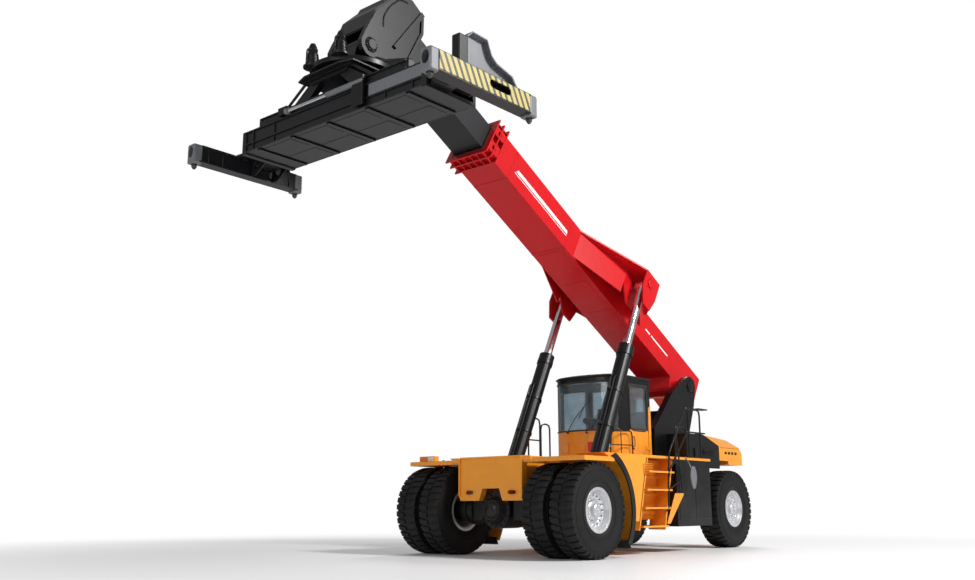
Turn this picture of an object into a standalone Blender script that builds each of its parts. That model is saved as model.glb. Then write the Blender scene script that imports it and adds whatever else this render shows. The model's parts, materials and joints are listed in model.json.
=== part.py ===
"""Reach stacker: a container handler with a telescopic luffing boom and a slewing spreader.

Metres, +X forward, +Y to the machine's left, +Z up.  Every size below is in the machine's own
frame, whose origin is on the ground under the front axle.  The root empty then moves the whole
machine so that the model's origin is the bottom centre of its bounding box.
"""
import bpy
import bmesh
from math import asin, atan2, cos, degrees, pi, radians, sin
from mathutils import Matrix, Vector

# ---------------------------------------------------------------- driving dimensions
GAP = 0.0003                     # gap between pieces that touch
PIN_CLEARANCE = 0.0009           # round a pin that its hole turns on
WHEEL_STEPS = 32                 # facets round a tyre and its rim

WHEELBASE = 6.0
TYRE_RADIUS = 0.83
TYRE_WIDTH = 0.51
BEAD_RADIUS = 0.33
FLANGE_RADIUS = 0.385
FRONT_INNER_TYRE_Y = 1.235       # middle plane of each tyre
FRONT_OUTER_TYRE_Y = 1.845
REAR_TYRE_Y = 1.35
KINGPIN_Y = 0.93

FRAME_BOTTOM = 1.05
FRAME_TOP = 1.80
FRAME_HALF_WIDTH = 0.60
BEAM_WIDTH = 0.24
REAR_HALF_WIDTH = 0.45
DECK_THICKNESS = 0.05
DECK_HALF_WIDTH = 1.88
DECK_FRONT = -2.0
DECK_REAR = -4.45
STEPS_FRONT = -1.98
STEPS_REAR = -2.94
LADDER_LEAN = 0.27               # forward for each metre down
CABINET_BOTTOM = 0.62
MIRROR_X = -3.35
MIRROR_Y = 2.08
MIRROR_Z = 1.42
MIRROR_HALF_WIDTH = 0.125
MIRROR_TALL = 1.8                # height over width

FRONT_PLATE_X = 0.45
FRONT_PLATE_HALF_WIDTH = 0.75
FRONT_PLATE_BOTTOM = 1.00

BOOM_ANGLE = radians(29.3)       # stored pose
PIVOT = Vector((-5.60, 0.0, 3.55))
OUTER_HALF_WIDTH = 0.43
OUTER_LOW = 0.164                # heights above the pivot, square to the boom
OUTER_HIGH = 0.884
OUTER_REAR = -0.92               # lengths from the pivot, along the boom
OUTER_FRONT = 7.80
OUTER_WALL = 0.03
INNER_CLEARANCE = 0.05           # between the two boom sections, filled by the slide pads
INNER_WALL = 0.025
INNER_TAIL = 1.55
INNER_FRONT = 11.02
EYE_ALONG = 2.896                # lift rod eye in the boom's ears
EYE_HEIGHT = 0.634
EAR_HALF_WIDTH = 1.242
CHEEK_THICKNESS = 0.034
CYLINDER_Y = 1.03
CYLINDER_BASE = Vector((-1.25, 0.0, 1.20))
BARREL_LENGTH = 3.26
BARREL_RADIUS = 0.155
ROD_RADIUS = 0.09
ROD_LENGTH = 3.18
EYE_RADIUS = 0.12
EYE_OUTER_RADIUS = 0.15          # base eye of the lift cylinder
PIN_RADIUS = 0.07
PIVOT_PIN_RADIUS = 0.09

HEAD_PIN_ALONG = 10.853
HEAD_PIN_HEIGHT = -0.357
SPREADER_DROP = 1.66             # from the head pin to the underside of the end beams
SPREADER_HALF_LENGTH = 3.029     # half of a 20 ft container
TWISTLOCK_X = 1.1295             # half of the ISO corner casting spacing, across
TWISTLOCK_Y = 2.9265             # and along the container
END_BEAM_WIDTH = 0.22
END_BEAM_HEIGHT = 0.32
END_BEAM_HALF = 1.22
MAIN_HALF_LENGTH = 2.30
MAIN_HALF_WIDTH = 0.54
RAIL_HALF_LENGTH = 1.88          # side shift rails above the main box
MAIN_LOW = -1.45                 # heights from the head pin
MAIN_HIGH = -1.05
CHANNEL_WALL = 0.04
ARM_CLEARANCE = 0.03
ARM_TAIL = 1.45

CAB_FRONT = -2.45
CAB_REAR = -3.90
CAB_HALF_WIDTH = 0.80
CAB_WALL = 0.05
CAB_WAIST = 2.42
CAB_ROOF_LOW = 3.46
CAB_ROOF_TOP = 3.58
CAB_CORNER_X = -2.80
SCREEN_REACH_DEG = 75
GLASS_INSET = 0.012
GLASS_THICKNESS = 0.012
DOOR_FRONT = -3.08
DOOR_REAR = -3.80
DOOR_GAP = 0.005
HINGE_RADIUS = 0.016

TOWER_INNER = 0.70
TOWER_OUTER = 0.85
HOOD_HALF_WIDTH = 1.35
HOOD_RIDGE_HALF = 1.08           # half width of the raised middle of the hood
HOOD_FRONT = -4.95
HOOD_REAR = -6.98
HOOD_BOTTOM = 1.80
HOOD_WALL = 0.04
HOOD_TOP = 2.45
HOOD_SIDE_TOP = 2.20             # height of its side band behind the cheeks
HOOD_SHOULDER = HOOD_BOTTOM + 0.08
CHEEK_FRONT = -4.46              # black side plates beside the tower
CHEEK_BEND = -5.19
CHEEK_REAR = -5.88
CHEEK_TOP = 2.42
CHEEK_BOTTOM = 1.70
ENGINE_DOOR_FRONT = CHEEK_FRONT - 0.30
ENGINE_DOOR_REAR = CHEEK_REAR + 0.12
ENGINE_DOOR_LOW = HOOD_SHOULDER + 0.03
ENGINE_DOOR_HIGH = 2.14
ARCH_RADIUS = 1.12               # outside of the front wings, about the axle
WING_END_DEG = 212
WING_THICKNESS = 0.03
WING_TOP = 1.75

# ---------------------------------------------------------------- worked-out values
ALONG = Vector((cos(BOOM_ANGLE), 0.0, sin(BOOM_ANGLE)))
UPWARD = Vector((-sin(BOOM_ANGLE), 0.0, cos(BOOM_ANGLE)))
DECK_TOP = FRAME_TOP + DECK_THICKNESS
INNER_HALF_WIDTH = OUTER_HALF_WIDTH - OUTER_WALL - INNER_CLEARANCE
INNER_LOW = OUTER_LOW + OUTER_WALL + INNER_CLEARANCE
INNER_HIGH = OUTER_HIGH - OUTER_WALL - INNER_CLEARANCE
EYE = PIVOT + ALONG * EYE_ALONG + UPWARD * EYE_HEIGHT
HEAD_PIN = PIVOT + ALONG * HEAD_PIN_ALONG + UPWARD * HEAD_PIN_HEIGHT
CYLINDER_LENGTH = (EYE - CYLINDER_BASE).length
CYLINDER_LEAN = atan2(CYLINDER_BASE.x - EYE.x, EYE.z - CYLINDER_BASE.z)
FRONT_END = HEAD_PIN.x + END_BEAM_HALF
ORIGIN_X = (FRONT_END + HOOD_REAR) / 2

PARTS = None
CUTTERS = None
PAINTS = {
    "orange_paint": ((0.90, 0.36, 0.03), 0.35, 0.0),
    "red_paint": ((0.75, 0.02, 0.03), 0.35, 0.0),
    "black_paint": ((0.025, 0.027, 0.03), 0.45, 0.0),
    "charcoal_paint": ((0.055, 0.06, 0.065), 0.5, 0.0),
    "grey_paint": ((0.30, 0.31, 0.32), 0.5, 0.0),
    "stripe_paint": ((0.75, 0.62, 0.20), 0.5, 0.0),
    "tyre_rubber": ((0.02, 0.02, 0.022), 0.85, 0.0),
    "rim_paint": ((0.72, 0.73, 0.75), 0.3, 0.6),
    "rod_chrome": ((0.8, 0.8, 0.82), 0.12, 1.0),
    "iron": ((0.10, 0.10, 0.11), 0.6, 0.5),
    "glass": ((0.35, 0.45, 0.50), 0.05, 0.0),
    "seat_fabric": ((0.04, 0.04, 0.045), 0.9, 0.0),
    "panel_plastic": ((0.05, 0.05, 0.055), 0.6, 0.0),
}


# ---------------------------------------------------------------- modelling helpers
def clear_scene():
    for obj in list(bpy.data.objects):
        bpy.data.objects.remove(obj, do_unlink=True)


def new_collection(name):
    collection = bpy.data.collections.new(name)
    bpy.context.scene.collection.children.link(collection)
    return collection


def paint(name):
    material = bpy.data.materials.get(name)
    if material is None:
        colour, roughness, metallic = PAINTS[name]
        material = bpy.data.materials.new(name)
        material.use_nodes = True
        shader = material.node_tree.nodes["Principled BSDF"]
        shader.inputs["Base Color"].default_value = (*colour, 1.0)
        shader.inputs["Roughness"].default_value = roughness
        shader.inputs["Metallic"].default_value = metallic
    return material


def empty(name, parent, location=(0, 0, 0), rotation=(0, 0, 0)):
    frame = bpy.data.objects.new(name, None)
    frame.parent = parent
    frame.location = location
    frame.rotation_euler = rotation
    PARTS.objects.link(frame)
    return frame


def mesh_object(build, name="shape"):
    """A loose shape in the helper collection, made by filling a bmesh."""
    mesh = bpy.data.meshes.new(name)
    geometry = bmesh.new()
    build(geometry)
    geometry.to_mesh(mesh)
    geometry.free()
    shape = bpy.data.objects.new(name, mesh)
    CUTTERS.objects.link(shape)
    return shape


def box(low, high):
    low, high = Vector(low), Vector(high)
    size = high - low
    matrix = Matrix.Translation((low + high) / 2) @ Matrix.Diagonal((*size, 1.0))
    return mesh_object(lambda g: bmesh.ops.create_cube(g, size=1.0, matrix=matrix))


def rod(start, end, radius, end_radius=None, sides=24):
    """A cylinder or cone between two points."""
    start, end = Vector(start), Vector(end)
    way = end - start
    turn = way.to_track_quat("Z", "Y").to_matrix().to_4x4()
    matrix = Matrix.Translation((start + end) / 2) @ turn
    last = radius if end_radius is None else end_radius
    return mesh_object(lambda g: bmesh.ops.create_cone(
        g, cap_ends=True, segments=sides, radius1=radius, radius2=last,
        depth=way.length, matrix=matrix))


def arc(centre, radius, start_deg, end_deg, steps):
    """Points on a circle, both ends included."""
    angles = [radians(start_deg + (end_deg - start_deg) * i / steps) for i in range(steps + 1)]
    return [(centre[0] + radius * cos(a), centre[1] + radius * sin(a)) for a in angles]


def prism(outline, low, high, axis="Y"):
    """A flat outline extruded from low to high: (x, z) along Y, or (x, y) along Z."""
    curve = bpy.data.curves.new("outline", "CURVE")
    curve.dimensions = "2D"
    curve.fill_mode = "BOTH"
    curve.extrude = (high - low) / 2
    spline = curve.splines.new("POLY")
    spline.points.add(len(outline) - 1)
    for point, (a, b) in zip(spline.points, outline):
        point.co = (a, b, 0.0, 1.0)
    spline.use_cyclic_u = True
    source = bpy.data.objects.new("outline", curve)
    if axis == "Y":
        source.rotation_euler = (pi / 2, 0, 0)
        source.location = (0, (low + high) / 2, 0)
    else:
        source.location = (0, 0, (low + high) / 2)
    CUTTERS.objects.link(source)
    return curve_to_mesh(source)


def tube(points, radius, sides=2):
    """A round bar through the points, with filled ends."""
    curve = bpy.data.curves.new("bar", "CURVE")
    curve.dimensions = "3D"
    curve.bevel_depth = radius
    curve.bevel_resolution = sides
    curve.use_fill_caps = True
    spline = curve.splines.new("POLY")
    spline.points.add(len(points) - 1)
    for point, place in zip(spline.points, points):
        point.co = (*place, 1.0)
    source = bpy.data.objects.new("bar", curve)
    CUTTERS.objects.link(source)
    return curve_to_mesh(source)


def curve_to_mesh(source):
    """Make a curve into a welded mesh, so that it can be cut or joined."""
    bpy.context.view_layer.update()
    depsgraph = bpy.context.evaluated_depsgraph_get()
    mesh = bpy.data.meshes.new_from_object(source.evaluated_get(depsgraph))
    mesh.transform(source.matrix_world)
    bpy.data.objects.remove(source, do_unlink=True)
    geometry = bmesh.new()
    geometry.from_mesh(mesh)
    bmesh.ops.remove_doubles(geometry, verts=geometry.verts, dist=0.00005)
    bmesh.ops.recalc_face_normals(geometry, faces=geometry.faces)
    geometry.to_mesh(mesh)
    geometry.free()
    shape = bpy.data.objects.new("shape", mesh)
    CUTTERS.objects.link(shape)
    return shape


def turned(profile, steps, axis="Y"):
    """A closed (radius, height) outline turned about an axis by a Screw modifier.

    The outline runs down its outer side.  Heights lie along +Y or along +Z."""
    mesh = bpy.data.meshes.new("profile")
    geometry = bmesh.new()
    verts = [geometry.verts.new((radius, 0.0, height)) for radius, height in profile]
    for first, second in zip(verts, verts[1:] + verts[:1]):
        if first.co.x > 0.0 or second.co.x > 0.0:
            geometry.edges.new((first, second))
    geometry.to_mesh(mesh)
    geometry.free()
    shape = bpy.data.objects.new("turned", mesh)
    CUTTERS.objects.link(shape)
    screw = shape.modifiers.new("turn", "SCREW")
    screw.steps = steps
    screw.render_steps = steps
    screw.use_merge_vertices = True
    screw.merge_threshold = 0.0001
    if axis == "Y":
        shape.rotation_euler = (-pi / 2, 0, 0)
    return shape


def mirrored(shape):
    """A copy of a shape on the other side of the machine."""
    copy = shape.copy()
    copy.data = shape.data.copy()
    copy.data.transform(Matrix.Diagonal((1, -1, 1, 1)))
    copy.data.flip_normals()
    CUTTERS.objects.link(copy)
    return copy


def pair(shape):
    return [shape, mirrored(shape)]


def sub_part(name, colour, frame, shapes, cuts=(), location=(0, 0, 0)):
    """One named piece: the first shape, joined by the others and cut by the cutters."""
    piece = shapes[0]
    CUTTERS.objects.unlink(piece)
    PARTS.objects.link(piece)
    piece.name = name
    piece.data.name = name
    piece.data.materials.clear()
    piece.data.materials.append(paint(colour))
    piece.parent = frame
    piece.location = piece.location + Vector(location)
    for operation, helpers in (("UNION", shapes[1:]), ("DIFFERENCE", cuts)):
        for helper in helpers:
            helper.parent = frame
            helper.location = helper.location + Vector(location)
            helper.hide_render = True
            helper.display_type = "WIRE"
            modifier = piece.modifiers.new(operation.lower(), "BOOLEAN")
            modifier.operation = operation
            modifier.object = helper
            modifier.solver = "EXACT"
    return piece


def smooth(piece, angle=35.0):
    piece.data.shade_smooth()
    piece.data.set_sharp_from_angle(angle=radians(angle))


SIDES = (("left", 1.0), ("right", -1.0))


def span(a, b):
    return min(a, b), max(a, b)


# ---------------------------------------------------------------- chassis
def chassis_frame(root):
    """Two box beams with cross members, the front plate and the lift cylinder brackets."""
    inner = FRAME_HALF_WIDTH - BEAM_WIDTH
    shapes = [box((DECK_REAR - 0.5, -FRAME_HALF_WIDTH, FRAME_BOTTOM),
                  (FRONT_PLATE_X - 0.1, -inner, FRAME_TOP))]
    shapes.append(mirrored(shapes[0]))
    rear_inner = REAR_HALF_WIDTH - 0.16
    rear_beam = box((HOOD_REAR + 0.1, rear_inner, FRAME_BOTTOM + 0.02),
                    (DECK_REAR - 0.4, REAR_HALF_WIDTH, FRAME_TOP - 0.12))
    shapes += pair(rear_beam)
    for middle in (-4.55, -3.3, -2.0, -0.6):
        shapes.append(box((middle - 0.15, -inner - 0.05, FRAME_BOTTOM + 0.08),
                          (middle + 0.15, inner + 0.05, FRAME_TOP - 0.04)))
    shapes.append(box((-5.35, -REAR_HALF_WIDTH + 0.05, FRAME_BOTTOM + 0.06),
                      (-5.15, REAR_HALF_WIDTH - 0.05, FRAME_TOP - 0.16)))
    shapes.append(box((DECK_FRONT - 0.02, -FRAME_HALF_WIDTH - 0.12, FRAME_TOP - 0.03),
                      (FRONT_PLATE_X - 0.06, FRAME_HALF_WIDTH + 0.12, FRAME_TOP)))
    shapes.append(box((FRONT_PLATE_X - 0.14, -FRONT_PLATE_HALF_WIDTH, FRONT_PLATE_BOTTOM),
                      (FRONT_PLATE_X, FRONT_PLATE_HALF_WIDTH, FRAME_TOP)))
    base = CYLINDER_BASE
    bracket_y = bracket_outer_y() - 0.05
    floor_z = base.z - EYE_OUTER_RADIUS - 0.02
    shapes += pair(box((base.x - 0.17, bracket_y, floor_z - 0.05), (base.x + 0.17, bracket_y + 0.05, base.z + 0.16)))
    shapes += pair(box((base.x - 0.17, FRAME_HALF_WIDTH - 0.1, floor_z - 0.05),
                       (base.x + 0.17, bracket_y + 0.05, floor_z)))
    shapes += pair(rod((base.x, FRAME_HALF_WIDTH - 0.1, base.z), (base.x, bracket_y + 0.04, base.z), PIN_RADIUS))
    notch = prism_x([(-0.30, FRONT_PLATE_BOTTOM - 0.05), (-0.20, FRONT_PLATE_BOTTOM + 0.22),
                     (0.20, FRONT_PLATE_BOTTOM + 0.22), (0.30, FRONT_PLATE_BOTTOM - 0.05)],
                    FRONT_PLATE_X - 0.3, FRONT_PLATE_X + 0.1)
    slot_z = FRONT_PLATE_BOTTOM + 0.15
    slots = pair(prism_x(arc((0.60, slot_z), 0.035, -90, 90, 6) + arc((0.42, slot_z), 0.035, 90, 270, 6),
                         FRONT_PLATE_X - 0.3, FRONT_PLATE_X + 0.1))
    return sub_part("chassis_frame", "orange_paint", root, shapes, [notch] + slots)


def prism_x(outline, low, high):
    """A flat (y, z) outline extruded along X."""
    shape = prism(outline, low, high, axis="Z")
    shape.data.transform(Matrix(((0, 0, 1, 0), (1, 0, 0, 0), (0, 1, 0, 0), (0, 0, 0, 1))))
    return shape


def front_axle(root):
    """Drive axle: differential housing, tubes and the flanges that carry the twin wheels."""
    z = TYRE_RADIUS
    flange_y = (FRONT_INNER_TYRE_Y + FRONT_OUTER_TYRE_Y) / 2
    shapes = [rod((0, 0.02 - flange_y, z), (0, flange_y - 0.02, z), 0.17)]
    shapes.append(rod((-0.30, 0, z), (0.30, 0, z), 0.33, sides=32))
    shapes.append(rod((0.29, 0, z), (0.42, 0, z), 0.26, 0.18, sides=32))
    shapes += pair(rod((0, flange_y - 0.10, z), (0, flange_y - GAP, z), 0.24, sides=32))
    shapes += pair(box((-0.24, 0.37, z - 0.18), (0.24, FRAME_HALF_WIDTH, FRAME_BOTTOM - GAP)))
    return sub_part("front_axle", "black_paint", root, shapes[1:2] + shapes[:1] + shapes[2:])


def rear_axle(root):
    """Steer axle: a beam with a fork at each end for the kingpins."""
    z = TYRE_RADIUS
    x = -WHEELBASE
    inner = KINGPIN_Y - 0.13
    shapes = [box((x - 0.20, -inner, z - 0.17), (x + 0.20, inner, z + 0.13))]
    shapes += pair(box((x - 0.15, inner - 0.05, z + 0.13 - 0.03), (x + 0.15, KINGPIN_Y + 0.10, z + 0.22)))
    shapes += pair(box((x - 0.15, inner - 0.05, z - 0.22), (x + 0.15, KINGPIN_Y + 0.10, z - 0.14)))
    shapes += pair(box((x - 0.15, inner - 0.08, z - 0.15), (x + 0.15, inner, z + 0.15)))
    shapes.append(box((x - 0.15, -0.28, z), (x + 0.15, 0.28, FRAME_BOTTOM + 0.02 - GAP)))
    shapes.append(box((x - 0.15, -REAR_HALF_WIDTH, FRAME_BOTTOM - 0.06),
                      (x + 0.15, REAR_HALF_WIDTH, FRAME_BOTTOM + 0.02 - GAP)))
    return sub_part("rear_axle", "black_paint", root, shapes)


def counterweight(root):
    """Cast block behind the rear axle, with a wide shoulder under the hood."""
    block = box((HOOD_REAR + 0.02, -REAR_HALF_WIDTH + 0.17, 0.75),
                (HOOD_REAR + 0.66, REAR_HALF_WIDTH - 0.17, HOOD_BOTTOM + 0.05))
    shapes = [box((HOOD_REAR, -HOOD_HALF_WIDTH, HOOD_BOTTOM), (HOOD_REAR + 0.68, HOOD_HALF_WIDTH, HOOD_SHOULDER)),
              block,
              box((HOOD_REAR, -0.46, 0.75), (HOOD_REAR + 0.0995, 0.46, HOOD_BOTTOM + 0.05))]
    return sub_part("counterweight", "orange_paint", root, shapes)


def boom_tower(root):
    """Two tall plates that carry the boom's pivot pin above the chassis."""
    outline = [(-3.96, DECK_TOP + GAP), (-3.98, 2.52), (-4.81, 3.36), (-5.36, 3.70)]
    outline += arc((PIVOT.x, PIVOT.z), 0.24, 60, 200, 8)
    outline += [(-5.74, 3.12), (-5.50, 2.55), (-5.46, DECK_TOP + GAP)]
    plate = prism(outline, TOWER_INNER, TOWER_OUTER)
    shapes = pair(plate)
    shapes.append(box((-5.3, -TOWER_INNER - 0.05, DECK_TOP + GAP), (-4.1, TOWER_INNER + 0.05, 2.05)))
    shapes.append(box((-4.75, -TOWER_INNER - 0.05, 2.0), (-4.55, TOWER_INNER + 0.05, 2.95)))
    shapes.append(rod((PIVOT.x, -TOWER_OUTER, PIVOT.z), (PIVOT.x, TOWER_OUTER, PIVOT.z), PIVOT_PIN_RADIUS))
    return sub_part("boom_tower", "black_paint", root, shapes)


def deck_plate(root):
    """Walkway over the frame, with the cabinets between mudguards and steps."""
    shapes = [box((DECK_REAR, -DECK_HALF_WIDTH, FRAME_TOP + GAP), (DECK_FRONT, DECK_HALF_WIDTH, DECK_TOP))]
    shapes += pair(box((DECK_FRONT - 0.1, 1.26, FRAME_TOP + GAP), (-0.42, DECK_HALF_WIDTH, DECK_TOP)))
    rear_top, rear_low = -1.92, -1.92 + LADDER_LEAN * (FRAME_TOP + 0.02 - CABINET_BOTTOM)
    cabinet = prism([(-0.62, CABINET_BOTTOM), (-0.62, FRAME_TOP + 0.02), (rear_top, FRAME_TOP + 0.02),
                     (rear_low, CABINET_BOTTOM)], 1.30, DECK_HALF_WIDTH)
    shapes += pair(cabinet)
    shapes.append(box((DECK_REAR - 0.95, -TOWER_OUTER - 0.01, FRAME_TOP + GAP),
                      (DECK_REAR + 0.05, TOWER_OUTER + 0.01, DECK_TOP)))
    arch = rod((0, -2.2, TYRE_RADIUS), (0, 2.2, TYRE_RADIUS), ARCH_RADIUS + 0.012, sides=48)
    return sub_part("deck_plate", "orange_paint", root, shapes, [arch])


def bracket_outer_y():
    """Outer face of the lift cylinder's bracket."""
    return CYLINDER_Y + BARREL_RADIUS + 0.065


def mudguard(root, side, sign):
    """Flat front wing that bends down behind the front tyres."""
    start = 180 - degrees(asin((WING_TOP - TYRE_RADIUS) / ARCH_RADIUS))
    back = arc((0, TYRE_RADIUS), ARCH_RADIUS, start, WING_END_DEG, 12)
    inside = arc((0, TYRE_RADIUS), ARCH_RADIUS - WING_THICKNESS, WING_END_DEG, start + 1, 12)
    top = back[0][1]
    outline = [(FRONT_PLATE_X - 0.02, top)] + back + inside
    outline += [(FRONT_PLATE_X - 0.02, top - WING_THICKNESS)]
    low, high = span(sign * 0.96, sign * 2.10)
    wing = prism(outline, low, high)
    inner_low, inner_high = span(sign * (FRONT_PLATE_HALF_WIDTH + GAP), sign * 1.00)
    tongue = box((-0.30, inner_low, top - WING_THICKNESS), (FRONT_PLATE_X - 0.02, inner_high, top))
    hanger_low, hanger_high = span(sign * (FRAME_HALF_WIDTH + GAP), sign * 1.00)
    hanger = box((-0.62, hanger_low, top - 0.10), (-0.42, hanger_high, top - WING_THICKNESS / 2))
    notch_low, notch_high = span(sign * 0.9, sign * (bracket_outer_y() + 0.02))
    notch = box((CYLINDER_BASE.x - 0.3, notch_low, 0.9), (-0.9, notch_high, CYLINDER_BASE.z + 0.3))
    return sub_part("mudguard_" + side, "orange_paint", root, [wing, tongue, hanger], [notch])


def steps(root, side, sign):
    """Ladder to the deck, leaning forward at its foot: two stringers and four treads."""
    foot = 0.45
    reach = LADDER_LEAN * (FRAME_TOP - foot)
    low, high = span(sign * 1.50, sign * (DECK_HALF_WIDTH - 0.02))
    shapes = []
    for x in (STEPS_REAR, STEPS_FRONT - 0.04):
        shapes.append(prism([(x, FRAME_TOP), (x + 0.04, FRAME_TOP), (x + 0.04 + reach, foot), (x + reach, foot)],
                            low, high))
    low, high = span(sign * 1.48, sign * (DECK_HALF_WIDTH + 0.06))
    for height in (0.50, 0.84, 1.18, 1.52):
        shift = LADDER_LEAN * (FRAME_TOP - height)
        shapes.append(box((STEPS_REAR + 0.02 + shift, low, height), (STEPS_FRONT - 0.02 + shift, high, height + 0.035)))
    return sub_part("steps_" + side, "orange_paint", root, shapes)


def tank(root, name, sign):
    low, high = span(sign * 1.24, sign * (DECK_HALF_WIDTH - 0.01))
    body = box((-4.42, low, 0.50), (-3.04, high, FRAME_TOP))
    strap_low, strap_high = span(sign * (FRAME_HALF_WIDTH + GAP), sign * 1.26)
    hangers = [box((x - 0.06, strap_low, 1.2), (x + 0.06, strap_high, 1.4)) for x in (-4.1, -3.4)]
    return sub_part(name, "black_paint", root, [body] + hangers)


def handrail(root, side, sign):
    """Hooped rail beside the steps."""
    y = sign * (DECK_HALF_WIDTH - 0.06)
    foot = DECK_TOP + GAP
    points = [(-3.02, y, foot)]
    points += [(-2.88 - 0.14 * cos(a), y, foot + 0.86 + 0.14 * sin(a)) for a in (0.0, pi / 4, pi / 2)]
    points += [(-2.22 + 0.14 * sin(a), y, foot + 0.86 + 0.14 * cos(a)) for a in (0.0, pi / 4, pi / 2)]
    points += [(-2.08, y, foot)]
    return sub_part("handrail_" + side, "black_paint", root, [tube(points, 0.018)])


def mirror(root, side, sign):
    """Oval rear-view mirror that hangs from a bent arm at the edge of the deck."""
    root_y = sign * (DECK_HALF_WIDTH - 0.05)
    out = sign * MIRROR_Y
    foot = DECK_TOP + GAP
    arm = tube([(MIRROR_X, root_y, foot), (MIRROR_X, root_y, foot + 0.10),
                (MIRROR_X, out, foot + 0.10), (MIRROR_X, out, MIRROR_Z)], 0.02)
    middle = Vector((MIRROR_X, out, MIRROR_Z))
    head = rod(middle - Vector((0.03, 0, 0)), middle + Vector((0.03, 0, 0)), MIRROR_HALF_WIDTH)
    head.data.transform(Matrix.Translation(middle) @ Matrix.Diagonal((1, 1, MIRROR_TALL, 1))
                        @ Matrix.Translation(-middle))
    return sub_part("mirror_" + side, "grey_paint", root, [arm, head])


# ---------------------------------------------------------------- cab
def cab_bow(inset, reach_deg):
    """Bowed front of the cab in plan, from the left to the right, moved inwards by inset."""
    depth = CAB_FRONT - inset - CAB_CORNER_X
    angles = [radians(reach_deg * (1 - i / 6)) for i in range(13)]
    return [(CAB_CORNER_X + depth * cos(a), (CAB_HALF_WIDTH - inset) * sin(a)) for a in angles]


def cab_plan(inset):
    """Plan of the cab: straight sides and a bowed front, moved inwards by inset."""
    half = CAB_HALF_WIDTH - inset
    rear = CAB_REAR + inset
    return cab_bow(inset, 90) + [(rear, -half), (rear, half)]


def cab_body(root):
    """Orange tub of the cab: floor and lower walls, open above the waist, with a doorway."""
    low = DECK_TOP + GAP
    shapes = [prism(cab_plan(0.0), low, CAB_WAIST, axis="Z")]
    cavity = prism(cab_plan(CAB_WALL), low + 0.06, CAB_WAIST + 0.1, axis="Z")
    doorway = box((DOOR_REAR, CAB_HALF_WIDTH - 0.2, low + 0.08),
                  (DOOR_FRONT + 0.005, CAB_HALF_WIDTH + 0.1, CAB_WAIST + 0.1))
    return sub_part("cab_body", "orange_paint", root, shapes, [cavity, doorway])


def cab_frame(root):
    """Roof and pillars, with the window openings cut through."""
    low = CAB_WAIST + GAP
    shapes = [prism(cab_plan(0.0), low, CAB_ROOF_TOP, axis="Z")]
    cavity = prism(cab_plan(CAB_WALL), low - 0.1, CAB_ROOF_LOW, axis="Z")
    screen_rear = min(x for x, _ in cab_bow(GLASS_INSET + GLASS_THICKNESS, SCREEN_REACH_DEG))
    windows = [box((screen_rear - GAP, -CAB_HALF_WIDTH - 0.1, low - 0.1),
                   (CAB_FRONT + 0.2, CAB_HALF_WIDTH + 0.1, CAB_ROOF_LOW - 0.02)),
               box((CAB_REAR + 0.12, -CAB_HALF_WIDTH - 0.1, low + 0.05),
                   (CAB_CORNER_X - 0.12, -CAB_HALF_WIDTH + 0.2, CAB_ROOF_LOW - 0.08)),
               box((CAB_REAR - 0.1, -CAB_HALF_WIDTH + 0.14, low + 0.12),
                   (CAB_REAR + 0.2, CAB_HALF_WIDTH - 0.14, CAB_ROOF_LOW - 0.08)),
               box((DOOR_REAR, CAB_HALF_WIDTH - 0.2, low - 0.1),
                   (DOOR_FRONT + 0.005, CAB_HALF_WIDTH + 0.1, CAB_ROOF_LOW - 0.035))]
    return sub_part("cab_frame", "black_paint", root, shapes, [cavity] + windows)


def windscreen(root):
    """Bowed front glass between the waist and the roof."""
    outer = cab_bow(GLASS_INSET, SCREEN_REACH_DEG)
    inner = cab_bow(GLASS_INSET + GLASS_THICKNESS, SCREEN_REACH_DEG)
    glass = prism(outer + inner[::-1], CAB_WAIST + GAP, CAB_ROOF_LOW - 0.02 - GAP, axis="Z")
    return sub_part("windscreen", "glass", root, [glass])


def flat_glass(root, name, low, high):
    return sub_part(name, "glass", root, [box(low, high)])


def cab_glass(root):
    waist = CAB_WAIST + GAP
    flat_glass(root, "side_glass_right",
               (CAB_REAR + 0.12 + GAP, -CAB_HALF_WIDTH + 0.02, waist + 0.05 + GAP),
               (CAB_CORNER_X - 0.12 - GAP, -CAB_HALF_WIDTH + 0.032, CAB_ROOF_LOW - 0.08 - GAP))
    flat_glass(root, "rear_glass",
               (CAB_REAR + 0.02, -CAB_HALF_WIDTH + 0.14 + GAP, waist + 0.12 + GAP),
               (CAB_REAR + 0.032, CAB_HALF_WIDTH - 0.14 - GAP, CAB_ROOF_LOW - 0.08 - GAP))


def operator_seat(root):
    floor = DECK_TOP + 0.06 + 2 * GAP
    shapes = [box((-3.36, -0.14, floor), (-3.08, 0.14, floor + 0.30)),
              box((-3.48, -0.26, floor + 0.28), (-2.98, 0.26, floor + 0.44)),
              box((-3.60, -0.25, floor + 0.38), (-3.45, 0.25, floor + 1.05))]
    shapes += pair(box((-3.48, 0.25, floor + 0.56), (-3.12, 0.33, floor + 0.62)))
    shapes += pair(box((-3.50, 0.22, floor + 0.56), (-3.44, 0.33, floor + 0.62)))
    return sub_part("operator_seat", "seat_fabric", root, shapes)


def steering_console(root):
    floor = DECK_TOP + 0.06 + 2 * GAP
    shapes = [box((-2.84, -0.16, floor), (-2.66, 0.16, floor + 0.45)),
              rod((-2.74, 0, floor + 0.40), (-2.84, 0, floor + 0.72), 0.03),
              rod((-2.835, 0, floor + 0.705), (-2.85, 0, floor + 0.745), 0.18)]
    return sub_part("steering_console", "panel_plastic", root, shapes)


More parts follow.
